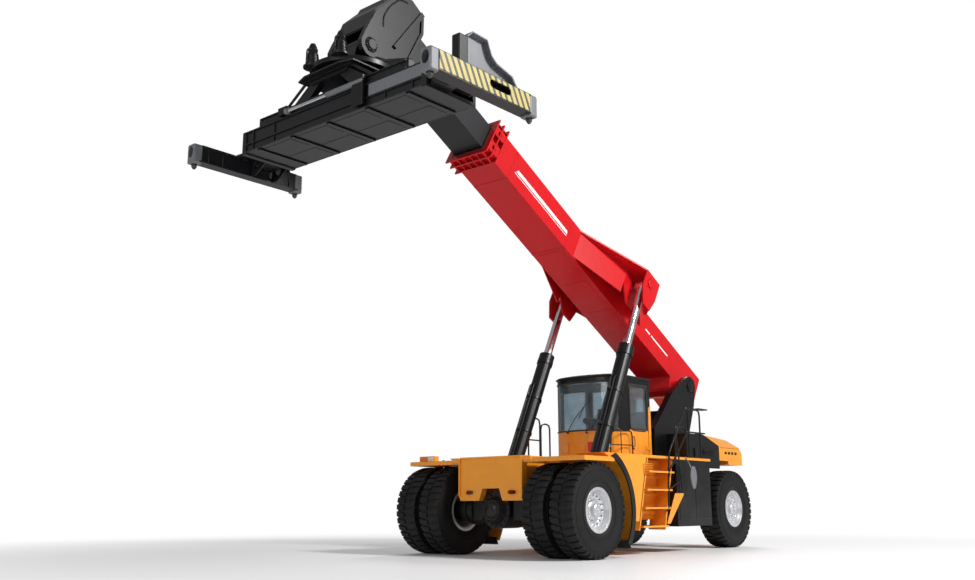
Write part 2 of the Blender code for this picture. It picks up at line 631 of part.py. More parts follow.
def hinge_knuckles(heights, leaf_way, out):
    """Hinge barrels on the axis and the straps that reach over the leaf's outer face."""
    face = -out * (HINGE_RADIUS + GAP)
    shapes = []
    for height in heights:
        low, high = span(face - out * 0.004, face + out * 0.02)
        near, far = span(leaf_way * 0.002, leaf_way * 0.12)
        shapes.append(rod((0, 0, height - 0.05), (0, 0, height + 0.05), HINGE_RADIUS, sides=16))
        shapes.append(box((near, low, height - 0.035), (far, high, height + 0.035)))
    return shapes


def cab_door(hinge):
    """Door leaf with its window cut, hung at the rear edge."""
    length = DOOR_FRONT - DOOR_REAR
    low = DECK_TOP + 0.09
    high = CAB_ROOF_LOW - 0.04
    outer = -(HINGE_RADIUS + GAP)
    leaf = box((DOOR_GAP, outer - CAB_WALL, low), (length - DOOR_GAP, outer, high))
    window = box((0.07, -0.2, CAB_WAIST + 0.06), (length - 0.06, 0.2, high - 0.07))
    shapes = [leaf] + hinge_knuckles((low + 0.15, high - 0.30), 1.0, 1.0)
    sub_part("cab_door", "orange_paint", hinge, shapes, [window])
    sub_part("door_glass", "glass", hinge,
             [box((0.07 + GAP, outer - GLASS_INSET - GLASS_THICKNESS, CAB_WAIST + 0.06 + GAP),
                  (length - 0.06 - GAP, outer - GLASS_INSET, high - 0.07 - GAP))])


# ---------------------------------------------------------------- engine bay
def engine_block(root):
    block = box((-6.27, -0.44, FRAME_TOP - 0.12 + GAP), (-5.56, 0.44, 2.22))
    return sub_part("engine_block", "iron", root, [block])


def hood_shell(inset):
    """Hood as a loft from its side bands up to the raised middle, moved inwards by inset."""
    half, ridge = HOOD_HALF_WIDTH - inset, HOOD_RIDGE_HALF - inset
    front, rear, floor = HOOD_FRONT - inset, HOOD_REAR + inset, HOOD_SHOULDER + GAP - (0.1 if inset else 0)
    band = [(front, HOOD_SIDE_TOP - inset), (CHEEK_REAR, HOOD_SIDE_TOP - inset), (HOOD_REAR + 0.14, HOOD_SIDE_TOP - inset),
            (rear, HOOD_SIDE_TOP - 0.14 - inset), (rear, floor), (front, floor)]
    top = [(front, HOOD_TOP - inset), (CHEEK_REAR, HOOD_TOP - 0.01 - inset), (HOOD_REAR + 0.24, HOOD_TOP - 0.07 - inset),
           (rear, HOOD_SIDE_TOP - inset), (rear, floor), (front, floor)]
    rings = [(-half, band), (-ridge, top), (ridge, top), (half, band)]

    def fill(geometry):
        rows = [[geometry.verts.new((x, y, z)) for x, z in outline] for y, outline in rings]
        for near, far in zip(rows, rows[1:]):
            for i in range(len(near)):
                j = (i + 1) % len(near)
                geometry.faces.new((near[i], near[j], far[j], far[i]))
        geometry.faces.new(rows[0][::-1])
        geometry.faces.new(rows[-1])
        bmesh.ops.triangulate(geometry, faces=geometry.faces)
        bmesh.ops.recalc_face_normals(geometry, faces=geometry.faces)
    return mesh_object(fill)


def engine_hood(root):
    """Hood over the engine, notched at the front for the tower and at the sides for the cheeks."""
    tower_slot = box((-5.80, -TOWER_OUTER - 0.02, 1.5), (HOOD_FRONT + 0.1, TOWER_OUTER + 0.02, 2.7))
    seats = pair(box((CHEEK_REAR - GAP, HOOD_HALF_WIDTH - HOOD_WALL - GAP, 1.5),
                     (HOOD_FRONT + 0.1, HOOD_HALF_WIDTH + 0.1, 2.7)))
    doorways = pair(box((ENGINE_DOOR_REAR, HOOD_HALF_WIDTH - 0.2, ENGINE_DOOR_LOW),
                        (ENGINE_DOOR_FRONT, HOOD_HALF_WIDTH + 0.1, ENGINE_DOOR_HIGH)))
    return sub_part("engine_hood", "orange_paint", root, [hood_shell(0)],
                    [hood_shell(HOOD_WALL), tower_slot] + seats + doorways)


def hood_cheek(root, side, sign):
    """Black side plate of the engine bay, with the doorway that the engine door closes."""
    outline = [(CHEEK_FRONT, CHEEK_TOP), (CHEEK_BEND, CHEEK_TOP), (CHEEK_REAR, HOOD_SIDE_TOP),
               (CHEEK_REAR, CHEEK_BOTTOM), (CHEEK_FRONT, CHEEK_BOTTOM)]
    low, high = span(sign * (HOOD_HALF_WIDTH - HOOD_WALL), sign * HOOD_HALF_WIDTH)
    inner, outer = span(sign * (TOWER_OUTER + GAP), sign * (HOOD_HALF_WIDTH - 0.01))
    bulkhead = box((CHEEK_FRONT - 0.04, inner, CHEEK_BOTTOM + 0.2), (CHEEK_FRONT, outer, CHEEK_TOP))
    doorway = box((ENGINE_DOOR_REAR, low - 0.05, ENGINE_DOOR_LOW), (ENGINE_DOOR_FRONT, high + 0.05, ENGINE_DOOR_HIGH))
    return sub_part("hood_cheek_" + side, "black_paint", root, [prism(outline, low, high), bulkhead], [doorway])


def engine_door(hinge, side, sign):
    """Side door of the engine bay, hung at its front edge."""
    outer = -sign * (HINGE_RADIUS + GAP)
    low, high = span(outer, outer - sign * HOOD_WALL)
    leaf = box((ENGINE_DOOR_REAR - ENGINE_DOOR_FRONT + DOOR_GAP, low, ENGINE_DOOR_LOW + DOOR_GAP),
               (-DOOR_GAP, high, ENGINE_DOOR_HIGH - DOOR_GAP))
    shapes = [leaf] + hinge_knuckles((ENGINE_DOOR_LOW + 0.07, ENGINE_DOOR_HIGH - 0.07), -1.0, sign)
    return sub_part("engine_door_" + side, "black_paint", hinge, shapes)


# ---------------------------------------------------------------- wheels
def tyre_section(middle, half):
    """Outer outline of one tyre from its far bead to its near bead."""
    crown = TYRE_RADIUS
    return [(FLANGE_RADIUS + 0.005, middle + half - 0.05), (0.52, middle + half), (0.72, middle + half - 0.01),
            (crown - 0.02, middle + half - 0.05), (crown, middle + half - 0.10),
            (crown, middle - half + 0.10), (crown - 0.02, middle - half + 0.05),
            (0.72, middle - half + 0.01), (0.52, middle - half), (FLANGE_RADIUS + 0.005, middle - half + 0.05)]


def twin_tyres(axle, side, sign):
    """Two tyres, joined by the spacer band between their beads."""
    half = TYRE_WIDTH / 2
    outline = tyre_section(FRONT_OUTER_TYRE_Y, half)
    outline += tyre_section(FRONT_INNER_TYRE_Y, half)
    outline += [(BEAD_RADIUS + GAP, FRONT_INNER_TYRE_Y - half + 0.06),
                (BEAD_RADIUS + GAP, FRONT_OUTER_TYRE_Y + half - 0.06)]
    wheel = turned(outline, WHEEL_STEPS)
    if sign < 0:
        wheel.rotation_euler = (pi / 2, 0, 0)
    piece = sub_part("front_tyres_" + side, "tyre_rubber", axle, [wheel])
    smooth(piece)
    return piece


def twin_rim(axle, side, sign):
    """Rim barrel through both tyres, with a disc bolted to the axle's flange."""
    half = TYRE_WIDTH / 2
    outer = FRONT_OUTER_TYRE_Y + half
    inner = FRONT_INNER_TYRE_Y - half
    disc = (FRONT_INNER_TYRE_Y + FRONT_OUTER_TYRE_Y) / 2
    outline = [(0.0, outer - 0.02), (0.13, outer - 0.02), (0.15, outer - 0.10), (0.22, outer - 0.14),
               (0.30, outer - 0.14), (0.335, outer - 0.005), (FLANGE_RADIUS, outer - 0.01),
               (FLANGE_RADIUS, outer - 0.036), (BEAD_RADIUS, outer - 0.046),
               (BEAD_RADIUS, inner + 0.046), (FLANGE_RADIUS, inner + 0.034), (FLANGE_RADIUS, inner + 0.01),
               (0.30, inner + 0.02), (0.30, disc), (0.0, disc)]
    rim = turned(outline, WHEEL_STEPS)
    if sign < 0:
        rim.rotation_euler = (pi / 2, 0, 0)
    piece = sub_part("front_rim_" + side, "rim_paint", axle, [rim])
    smooth(piece)
    return piece


def single_tyre(axle, side, sign):
    half = TYRE_WIDTH / 2
    outline = tyre_section(0.0, half)
    outline += [(BEAD_RADIUS + GAP, -half + 0.06), (BEAD_RADIUS + GAP, half - 0.06)]
    piece = sub_part("rear_tyre_" + side, "tyre_rubber", axle, [turned(outline, WHEEL_STEPS)])
    smooth(piece)
    return piece


def single_rim(axle, side, sign):
    half = TYRE_WIDTH / 2
    outline = [(0.0, half + 0.01), (0.12, half + 0.01), (0.14, half - 0.07), (0.20, half - 0.10),
               (0.30, half - 0.10), (0.335, half - 0.005), (FLANGE_RADIUS, half - 0.01),
               (FLANGE_RADIUS, half - 0.036), (BEAD_RADIUS, half - 0.046),
               (BEAD_RADIUS, -half + 0.046), (FLANGE_RADIUS, -half + 0.034), (FLANGE_RADIUS, -half + 0.01),
               (0.30, -half + 0.02), (0.30, 0.0), (0.0, 0.0)]
    rim = turned(outline, WHEEL_STEPS)
    if sign < 0:
        rim.rotation_euler = (pi / 2, 0, 0)
    piece = sub_part("rear_rim_" + side, "rim_paint", axle, [rim])
    smooth(piece)
    return piece


def knuckle(kingpin, side, sign):
    """Steering knuckle: kingpin barrel and the stub that the wheel turns on."""
    reach = sign * (REAR_TYRE_Y - KINGPIN_Y)
    shapes = [rod((0, 0, -0.14 + GAP), (0, 0, 0.10 - GAP), 0.10),
              rod((0, sign * 0.02, -0.02), (0, reach - sign * GAP, -0.02), 0.075),
              rod((0, reach - sign * 0.09, -0.02), (0, reach - sign * GAP, -0.02), 0.17)]
    for shape in shapes[1:]:
        shape.data.transform(Matrix.Translation((0, 0, 0.02)))
    return sub_part("knuckle_" + side, "black_paint", kingpin, shapes)


# ---------------------------------------------------------------- boom
def ear_shapes():
    """One ear: roof plate, inner and outer cheek, and the slanted webs to the boom's side."""
    side = OUTER_HALF_WIDTH - 0.01
    roof_low = OUTER_HIGH - 0.045
    roof = prism([(1.7, side), (4.65, side), (3.12, EAR_HALF_WIDTH), (2.58, EAR_HALF_WIDTH)],
                 roof_low, OUTER_HIGH - 0.01, axis="Z")
    outer = prism([(2.58, roof_low + 0.02), (2.58, 0.42), (2.68, 0.08), (2.95, 0.08), (3.12, 0.42),
                   (3.12, roof_low + 0.02)], EAR_HALF_WIDTH - CHEEK_THICKNESS, EAR_HALF_WIDTH)
    inner_face = CYLINDER_Y - (EAR_HALF_WIDTH - CHEEK_THICKNESS - CYLINDER_Y)
    inner = prism([(2.58, roof_low + 0.02), (2.58, 0.50), (2.70, 0.10), (3.02, 0.10), (3.30, 0.45),
                   (3.30, roof_low + 0.02)], inner_face - CHEEK_THICKNESS, inner_face)
    middle = inner_face - CHEEK_THICKNESS / 2
    web = prism([(4.60, side), (4.55, side), (3.26, middle - 0.01), (3.29, middle + 0.01)],
                0.20, roof_low + 0.02, axis="Z")
    back = prism([(1.80, side), (1.88, side), (2.62, middle - 0.01), (2.59, middle + 0.01)],
                 0.45, roof_low + 0.02, axis="Z")
    return [roof, outer, inner, web, back]


def outer_boom(boom):
    """Outer boom box with its pivot bosses, lift ears, mouth collar and slide pads."""
    half = OUTER_HALF_WIDTH
    side = [(OUTER_REAR, OUTER_HIGH), (OUTER_REAR, 0.09), (-0.30, 0.13), (-0.20, -0.06)]
    side += arc((0, 0), 0.20, 205, 335, 6)
    side += [(0.26, OUTER_LOW), (OUTER_FRONT, OUTER_LOW), (OUTER_FRONT, OUTER_HIGH)]
    shapes = [prism(side, -half, half)]
    shapes += pair(rod((0, half - 0.05, 0), (0, TOWER_INNER - 0.005, 0), 0.17))
    for ear in ear_shapes():
        shapes += pair(ear)
    for u in (OUTER_FRONT - 0.34, OUTER_FRONT - 0.18, OUTER_FRONT - 0.03):
        shapes.append(box((u, -half - 0.10, OUTER_LOW - 0.07), (u + 0.03, half + 0.10, OUTER_HIGH + 0.06)))
    hollow = box((OUTER_REAR + 0.05, -half + OUTER_WALL, OUTER_LOW + OUTER_WALL),
                 (OUTER_FRONT + 0.2, half - OUTER_WALL, OUTER_HIGH - OUTER_WALL))
    pivot_hole = rod((0, -1.0, 0), (0, 1.0, 0), PIVOT_PIN_RADIUS + PIN_CLEARANCE)
    return sub_part("outer_boom", "red_paint", boom, shapes, [hollow, pivot_hole])


def slide_pads(boom):
    """Wear pads at the mouth of the outer boom, which the inner boom slides on."""
    u_low, u_high = OUTER_FRONT - 0.40, OUTER_FRONT - 0.02
    wall_y = OUTER_HALF_WIDTH - OUTER_WALL - GAP
    face_y = INNER_HALF_WIDTH + GAP
    ring = box((u_low, -wall_y, OUTER_LOW + OUTER_WALL + GAP), (u_high, wall_y, OUTER_HIGH - OUTER_WALL - GAP))
    hole = box((u_low - 0.1, -face_y, INNER_LOW - GAP), (u_high + 0.1, face_y, INNER_HIGH + GAP))
    return sub_part("slide_pads", "panel_plastic", boom, [ring], [hole])


def inner_boom(boom):
    """Telescopic inner boom with the two head plates that carry the rotator pin."""
    half = INNER_HALF_WIDTH
    shapes = [box((INNER_TAIL, -half, INNER_LOW), (INNER_FRONT, half, INNER_HIGH))]
    outline = [(10.05, 0.20), (10.10, 0.80), (10.28, 1.15), (10.61, 1.18), (10.90, 1.00), (11.10, 0.29),
               (11.08, -0.24)]
    outline += arc((HEAD_PIN_ALONG, HEAD_PIN_HEIGHT), 0.22, -20, -160, 6)
    outline += [(10.48, -0.30), (10.20, 0.05)]
    shapes += pair(prism(outline, half - 0.01, half + 0.09))
    hollow = box((INNER_TAIL - 0.1, -half + INNER_WALL, INNER_LOW + INNER_WALL),
                 (INNER_FRONT - 0.06, half - INNER_WALL, INNER_HIGH - INNER_WALL))
    shapes.append(rod((HEAD_PIN_ALONG, -half - 0.09, HEAD_PIN_HEIGHT),
                      (HEAD_PIN_ALONG, half + 0.09, HEAD_PIN_HEIGHT), PIN_RADIUS))
    return sub_part("inner_boom", "charcoal_paint", boom, shapes, [hollow])


def lift_barrel(base, side, sign):
    """Cylinder barrel, standing on its base pin along the local +Z."""
    shapes = [rod((0, 0, 0.05), (0, 0, BARREL_LENGTH), BARREL_RADIUS),
              rod((0, -0.11, 0), (0, 0.11, 0), EYE_OUTER_RADIUS),
              rod((0, 0, BARREL_LENGTH - 0.12), (0, 0, BARREL_LENGTH), BARREL_RADIUS + 0.012)]
    bore = rod((0, 0, 0.20), (0, 0, BARREL_LENGTH + 0.2), ROD_RADIUS + GAP)
    pin_hole = rod((0, -0.3, 0), (0, 0.3, 0), PIN_RADIUS + PIN_CLEARANCE)
    piece = sub_part("lift_barrel_" + side, "black_paint", base, shapes, [bore, pin_hole])
    return piece


def lift_rod(base, side, sign):
    """Chromed rod with the eye that sits between the ear's cheeks."""
    length = CYLINDER_LENGTH
    shapes = [rod((0, 0, length - ROD_LENGTH), (0, 0, length - 0.05), ROD_RADIUS),
              rod((0, -0.09, length), (0, 0.09, length), EYE_RADIUS),
              rod((0, -0.168, length), (0, 0.168, length), 0.05)]
    return sub_part("lift_rod_" + side, "rod_chrome", base, shapes)


# ---------------------------------------------------------------- spreader
def rotator_head(pin):
    """Level head under the boom: pin lug, ring plate and two slewing motors."""
    lug = prism(arc((0, 0), 0.16, 0, 180, 8) + [(-0.30, -0.42), (0.30, -0.42)], -0.28, 0.28)
    shapes = [rod((0, 0, -0.47), (0, 0, -0.40), 0.72, sides=40), lug]
    for y in (-0.36, 0.36):
        shapes.append(rod((0.60, y, -0.41), (0.60, y, -0.20), 0.115, 0.10, sides=16))
        shapes.append(rod((0.60, y, -0.21), (0.60, y, 0.02), 0.085, 0.05, sides=16))
    hole = rod((0, -1, 0), (0, 1, 0), PIN_RADIUS + PIN_CLEARANCE)
    return sub_part("rotator_head", "black_paint", pin, shapes, [hole])


def slewing_frame(slew):
    """Turning ring and pedestal that carry the side shift rails."""
    shapes = [rod((0, 0, -0.56), (0, 0, -0.47 - GAP), 0.62, sides=40),
              box((-0.60, -0.62, -0.60), (0.60, 0.62, -0.55))]
    windows, rails = [], []
    edge = MAIN_HALF_WIDTH - 0.02
    rail_top = MAIN_HIGH + 0.15
    for x in (-edge, edge - 0.12):
        shapes.append(prism_x([(-0.95, rail_top - 0.02), (-0.45, -0.58), (0.45, -0.58),
                               (0.95, rail_top - 0.02)], x, x + 0.12))
        windows.append(prism_x([(-0.50, rail_top + 0.02), (-0.26, -0.66), (0.26, -0.66),
                                (0.50, rail_top + 0.02)], x - 0.1, x + 0.22))
        rails.append(box((x, -RAIL_HALF_LENGTH, MAIN_HIGH + GAP), (x + 0.12, RAIL_HALF_LENGTH, rail_top)))
    shapes.append(box((-edge, -0.12, MAIN_HIGH + GAP), (edge, 0.12, MAIN_HIGH + 0.06)))
    return sub_part("slewing_frame", "charcoal_paint", slew, shapes + rails, windows)


def spreader_frame(shift):
    """Main spreader box with two through channels for the telescopic arms."""
    half = MAIN_HALF_WIDTH
    shapes = [box((-half, -MAIN_HALF_LENGTH, MAIN_LOW), (half, MAIN_HALF_LENGTH, MAIN_HIGH))]
    cuts = []
    for sign in (1, -1):
        x_low, x_high = span(sign * CHANNEL_WALL / 2, sign * (half - CHANNEL_WALL))
        cuts.append(box((x_low, -MAIN_HALF_LENGTH - 0.1, MAIN_LOW + CHANNEL_WALL),
                        (x_high, MAIN_HALF_LENGTH + 0.1, MAIN_HIGH - CHANNEL_WALL)))
    return sub_part("spreader_frame", "charcoal_paint", shift, shapes, cuts)


def arm(slide, side, sign):
    """Telescopic arm: the left one runs in the front channel, the right one in the rear."""
    x_low, x_high = span(sign * (CHANNEL_WALL / 2 + ARM_CLEARANCE),
                         sign * (MAIN_HALF_WIDTH - CHANNEL_WALL - ARM_CLEARANCE))
    y_low, y_high = span(-sign * ARM_TAIL, sign * (SPREADER_HALF_LENGTH - END_BEAM_WIDTH - GAP))
    shapes = [box((x_low, y_low, MAIN_LOW + CHANNEL_WALL + GAP),
                  (x_high, y_high, MAIN_HIGH - CHANNEL_WALL - ARM_CLEARANCE))]
    return sub_part("arm_" + side, "charcoal_paint", slide, shapes)


def end_beam(slide, side, sign):
    """End beam with its corner housings and twistlocks."""
    low = -SPREADER_DROP + 0.04
    y_low, y_high = span(sign * (SPREADER_HALF_LENGTH - END_BEAM_WIDTH), sign * SPREADER_HALF_LENGTH)
    shapes = [box((-END_BEAM_HALF, y_low, low), (END_BEAM_HALF, y_high, low + END_BEAM_HEIGHT))]
    for x_sign in (1, -1):
        x_low, x_high = span(x_sign * (TWISTLOCK_X - 0.10), x_sign * END_BEAM_HALF)
        shapes.append(box((x_low, y_low, low - 0.04), (x_high, y_high, low + 0.05)))
        place = (x_sign * TWISTLOCK_X, sign * TWISTLOCK_Y)
        shapes.append(rod((*place, low - 0.12), (*place, low), 0.03, 0.05, sides=16))
    return sub_part("end_beam_" + side, "stripe_paint", slide, shapes)


# ---------------------------------------------------------------- assembly
def build():
    global PARTS, CUTTERS
    clear_scene()
    PARTS = new_collection("reach_stacker")
    CUTTERS = new_collection("cutters")
    root = empty("machine_origin", None, (-ORIGIN_X, 0, 0))

    chassis_frame(root)
    front_axle(root)
    rear_axle(root)
    counterweight(root)
    boom_tower(root)
    deck_plate(root)
    for side, sign in SIDES:
        mudguard(root, side, sign)
        steps(root, side, sign)
        handrail(root, side, sign)
        mirror(root, side, sign)
    tank(root, "fuel_tank", 1.0)
    tank(root, "hydraulic_tank", -1.0)

    cab_body(root)
    cab_frame(root)
    windscreen(root)
    cab_glass(root)
    operator_seat(root)
    steering_console(root)
    cab_door(empty("cab_door_hinge", root, (DOOR_REAR, CAB_HALF_WIDTH + HINGE_RADIUS + GAP, 0)))
    engine_block(root)
    engine_hood(root)
    for side, sign in SIDES:
        hood_cheek(root, side, sign)
        line = sign * (HOOD_HALF_WIDTH + HINGE_RADIUS + GAP)
        hinge = empty("engine_door_hinge_" + side, root, (ENGINE_DOOR_FRONT, line, 0))
        engine_door(hinge, side, sign)

    front_centre = empty("front_axle_line", root, (0, 0, TYRE_RADIUS))
    for side, sign in SIDES:
        twin_tyres(front_centre, side, sign)
        twin_rim(front_centre, side, sign)
        kingpin = empty("kingpin_" + side, root, (-WHEELBASE, sign * KINGPIN_Y, TYRE_RADIUS))
        knuckle(kingpin, side, sign)
        hub = empty("rear_hub_" + side, kingpin, (0, sign * (REAR_TYRE_Y - KINGPIN_Y), 0))
        single_tyre(hub, side, sign)
        single_rim(hub, side, sign)

    boom = empty("boom_pivot", root, PIVOT, (0, -BOOM_ANGLE, 0))
    outer_boom(boom)
    slide_pads(boom)
    inner_boom(boom)
    for side, sign in SIDES:
        place = CYLINDER_BASE + Vector((0, sign * CYLINDER_Y, 0))
        base = empty("lift_base_" + side, root, place, (0, -CYLINDER_LEAN, 0))
        lift_barrel(base, side, sign)
        lift_rod(base, side, sign)

    pin = empty("head_pin", root, HEAD_PIN)
    rotator_head(pin)
    slewing_frame(pin)
    spreader_frame(pin)
    for side, sign in SIDES:
        arm(pin, side, sign)
        end_beam(pin, side, sign)


build()
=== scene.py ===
# %% [markdown]
# # Reach stacker: the looks
# The frame gives every solid of the machine at its real place: chassis, boom, spreader, wheels.
# This script puts paint, rubber, chrome and glass on those solids, and adds what a plain solid
# lacks: tread, wheel nuts, rails, lamps, stripes and pipes. It never moves a solid of the frame.

# %% Load the frame
import json
from math import atan2, cos, degrees, pi, radians, sin

import bpy
from mathutils import Matrix, Vector


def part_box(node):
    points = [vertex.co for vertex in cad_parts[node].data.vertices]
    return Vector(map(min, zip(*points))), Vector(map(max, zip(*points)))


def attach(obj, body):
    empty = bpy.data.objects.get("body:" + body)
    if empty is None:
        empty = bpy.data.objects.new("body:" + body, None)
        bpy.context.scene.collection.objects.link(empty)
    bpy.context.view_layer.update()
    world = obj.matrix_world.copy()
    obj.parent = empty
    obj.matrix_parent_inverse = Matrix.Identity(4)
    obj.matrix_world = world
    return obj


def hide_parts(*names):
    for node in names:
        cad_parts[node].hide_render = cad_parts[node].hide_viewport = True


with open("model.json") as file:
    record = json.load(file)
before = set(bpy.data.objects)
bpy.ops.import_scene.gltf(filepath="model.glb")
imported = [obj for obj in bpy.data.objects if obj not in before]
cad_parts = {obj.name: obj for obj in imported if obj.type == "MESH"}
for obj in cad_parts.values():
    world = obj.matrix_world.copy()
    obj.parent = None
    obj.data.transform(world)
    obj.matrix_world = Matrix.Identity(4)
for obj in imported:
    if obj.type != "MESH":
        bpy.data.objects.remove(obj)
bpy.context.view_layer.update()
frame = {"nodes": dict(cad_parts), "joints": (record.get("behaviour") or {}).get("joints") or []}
joints = {joint["name"]: joint for joint in frame["joints"]}

# %% [markdown]
# ## Where things are
# All sizes are in metres. The middle of the front axle on the ground is the handiest zero for a
# machine like this, so `at` counts from there. The boom leans, so `on_boom` counts along it and
# square to it from its pivot. Both read the frame, so nothing slides if the frame changes.

# %% Places on the machine and on the boom
tyre_low, tyre_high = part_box("front_tyres_left")
AXLE_X = (tyre_low.x + tyre_high.x) / 2
TYRE_RADIUS = (tyre_high.z - tyre_low.z) / 2


def at(x, y, z):
    """A place counted from the ground under the middle of the front axle."""
    return Vector((AXLE_X + x, y, z))


along = -Vector(joints["boom_telescope"]["axis"]).normalized()
upward = Vector((-along.z, 0, along.x))
PIVOT = Vector(joints["boom_luff"]["pos_m"])
HEAD_PIN = Vector(joints["head_level"]["pos_m"])
BOOM_ANGLE = atan2(along.z, along.x)


def on_boom(length, y, height):
    """A place counted along the boom and square to it, from its pivot."""
    return PIVOT + along * length + upward * height + Vector((0, y, 0))


print("boom at", round(degrees(BOOM_ANGLE), 1), "degrees, pivot", tuple(round(v, 3) for v in PIVOT))

# %% [markdown]
# ## Camera
# The camera stands 0.9 m above the ground in front of the left wheels and looks up along the
# machine. A 36 mm lens takes in the whole boom from under 19 m. It is made first, so that every
# look at the work is from the same place.

# %% Camera
CAMERA_PLACE = at(14.408, 11.906, 0.921)
CAMERA_YAW, CAMERA_PITCH, CAMERA_ROLL = radians(40.60), radians(12.38), radians(0.17)
sight = Vector((-cos(CAMERA_YAW) * cos(CAMERA_PITCH), -sin(CAMERA_YAW) * cos(CAMERA_PITCH),
                sin(CAMERA_PITCH)))
camera_data = bpy.data.cameras.new("camera")
camera_data.lens = 36.19
camera = bpy.data.objects.new("camera", camera_data)
bpy.context.scene.collection.objects.link(camera)
camera.matrix_world = (Matrix.Translation(CAMERA_PLACE) @ sight.to_track_quat("-Z", "Y").to_matrix().to_4x4()
                       @ Matrix.Rotation(-CAMERA_ROLL, 4, "Z"))
bpy.context.scene.camera = camera
print("camera at", tuple(round(v, 2) for v in CAMERA_PLACE))

# %% [markdown]
# ## Studio
# A pale floor and three large soft lamps. The key lamp is high on the left, which makes the left
# sides bright, leaves the underside of the boom dark and throws the shadow to the right. The sky
# looks white but lights weakly, so that black paint stays black.

# %% Floor, lamps and sky
def soft_lamp(name, place, aim, size, watts):
    data = bpy.data.lights.new(name, "AREA")
    data.shape, data.size, data.energy = "DISK", size, watts
    lamp = bpy.data.objects.new(name, data)
    bpy.context.scene.collection.objects.link(lamp)
    lamp.matrix_world = Matrix.Translation(place) @ (aim - place).to_track_quat("-Z",
            "Y").to_matrix().to_4x4()
    return lamp


bpy.ops.object.select_all(action="DESELECT")
bpy.ops.mesh.primitive_plane_add(size=240, location=(0, 0, 0))
floor = bpy.context.object
floor.name = "studio_floor"
floor_paint = bpy.data.materials.new("studio_floor")
floor_paint.use_nodes = True
floor_shader = floor_paint.node_tree.nodes["Principled BSDF"]
floor_shader.inputs["Base Color"].default_value = (0.86, 0.86, 0.87, 1)
floor_shader.inputs["Roughness"].default_value = 0.45
floor_nodes, floor_links = floor_paint.node_tree.nodes, floor_paint.node_tree.links
from_middle = floor_nodes.new("ShaderNodeVectorMath")
from_middle.operation = "LENGTH"
fade = floor_nodes.new("ShaderNodeMapRange")
fade.inputs["From Min"].default_value, fade.inputs["From Max"].default_value = 5.0, 17.0
fade.interpolation_type = "SMOOTHSTEP"
only_seen = floor_nodes.new("ShaderNodeMath")
only_seen.operation = "MULTIPLY"
glow, blend = floor_nodes.new("ShaderNodeEmission"), floor_nodes.new("ShaderNodeMixShader")
floor_links.new(floor_nodes.new("ShaderNodeTexCoord").outputs["Object"], from_middle.inputs[0])
floor_links.new(from_middle.outputs["Value"], fade.inputs["Value"])
floor_links.new(fade.outputs["Result"], only_seen.inputs[0])
floor_links.new(floor_nodes.new("ShaderNodeLightPath").outputs["Is Camera Ray"], only_seen.inputs[1])
floor_links.new(only_seen.outputs["Value"], blend.inputs[0])
floor_links.new(floor_shader.outputs[0], blend.inputs[1])
floor_links.new(glow.outputs[0], blend.inputs[2])
floor_links.new(blend.outputs[0], floor_nodes["Material Output"].inputs["Surface"])
floor.data.materials.append(floor_paint)
machine_middle = Vector((0, 0, 4))
soft_lamp("key_lamp", at(-4, 19, 16), machine_middle, 5, 5600)
soft_lamp("front_lamp", at(19, 2, 9), machine_middle, 9, 800)
soft_lamp("rear_lamp", at(-16, -7, 14), machine_middle, 7, 1300)
sky = bpy.data.worlds.new("sky")
bpy.context.scene.world = sky
sky.use_nodes = True
sky.node_tree.nodes["Background"].inputs["Color"].default_value = (1, 1, 1, 1)
seen_directly = sky.node_tree.nodes.new("ShaderNodeLightPath").outputs["Is Camera Ray"]
brightness = sky.node_tree.nodes.new("ShaderNodeMapRange")
brightness.inputs["To Min"].default_value = 0.32
sky.node_tree.links.new(seen_directly, brightness.inputs["Value"])
sky.node_tree.links.new(brightness.outputs["Result"], sky.node_tree.nodes["Background"].inputs["Strength"])
bpy.context.scene.view_settings.view_transform = "Standard"
print(len(bpy.data.lights), "lamps")

# %% [markdown]
# ## Paint that has worked
# Machine paint is never one flat colour. Dust settles low down, rain leaves faint streaks, edges
# are rubbed to primer, and the coat has a slight ripple. Two node groups hold those effects, so
# that each paint only says how much of them it has. The bevel node rounds sharp corners in the
# shading, and the same rounded normal shows where the edges are.

# %% Node groups: edges and grime
def group(name, inputs, outputs):
    """A shader node group with float inputs (or colours, when the default has four numbers)."""
    tree = bpy.data.node_groups.new(name, "ShaderNodeTree")
    for label, value in inputs.items():
        kind = "NodeSocketFloat" if isinstance(value, (int, float)) else "NodeSocketColor"
        socket = tree.interface.new_socket(label, in_out="INPUT", socket_type=kind)
        socket.default_value = value
    for label, kind in outputs.items():
        tree.interface.new_socket(label, in_out="OUTPUT", socket_type="NodeSocket" + kind)
    return tree, tree.nodes.new("NodeGroupInput"), tree.nodes.new("NodeGroupOutput")


def node(tree, kind, values=None, **settings):
    """A node with its settings, its plain input values and its links, all in one line."""
    made = tree.nodes.new("ShaderNode" + kind)
    for key, value in settings.items():
        setattr(made, key, value)
    for key, value in (values or {}).items():
        if isinstance(value, bpy.types.NodeSocket):
            tree.links.new(value, made.inputs[key])
        else:
            made.inputs[key].default_value = value
    return made


def ramp(tree, value, low, high):
    """0 below low, 1 above high."""
    made = node(tree, "MapRange", {"Value": value, "From Min": low, "From Max": high}, clamp=True)
    return made.outputs["Result"]


def blend_colour(tree, factor, first, second, mode="MIX"):
    made = node(tree, "Mix", {"Factor": factor}, data_type="RGBA", blend_type=mode)
    for socket, value in ((made.inputs[6], first), (made.inputs[7], second)):
        if isinstance(value, bpy.types.NodeSocket):
            tree.links.new(value, socket)
        else:
            socket.default_value = value
    return made.outputs[2]


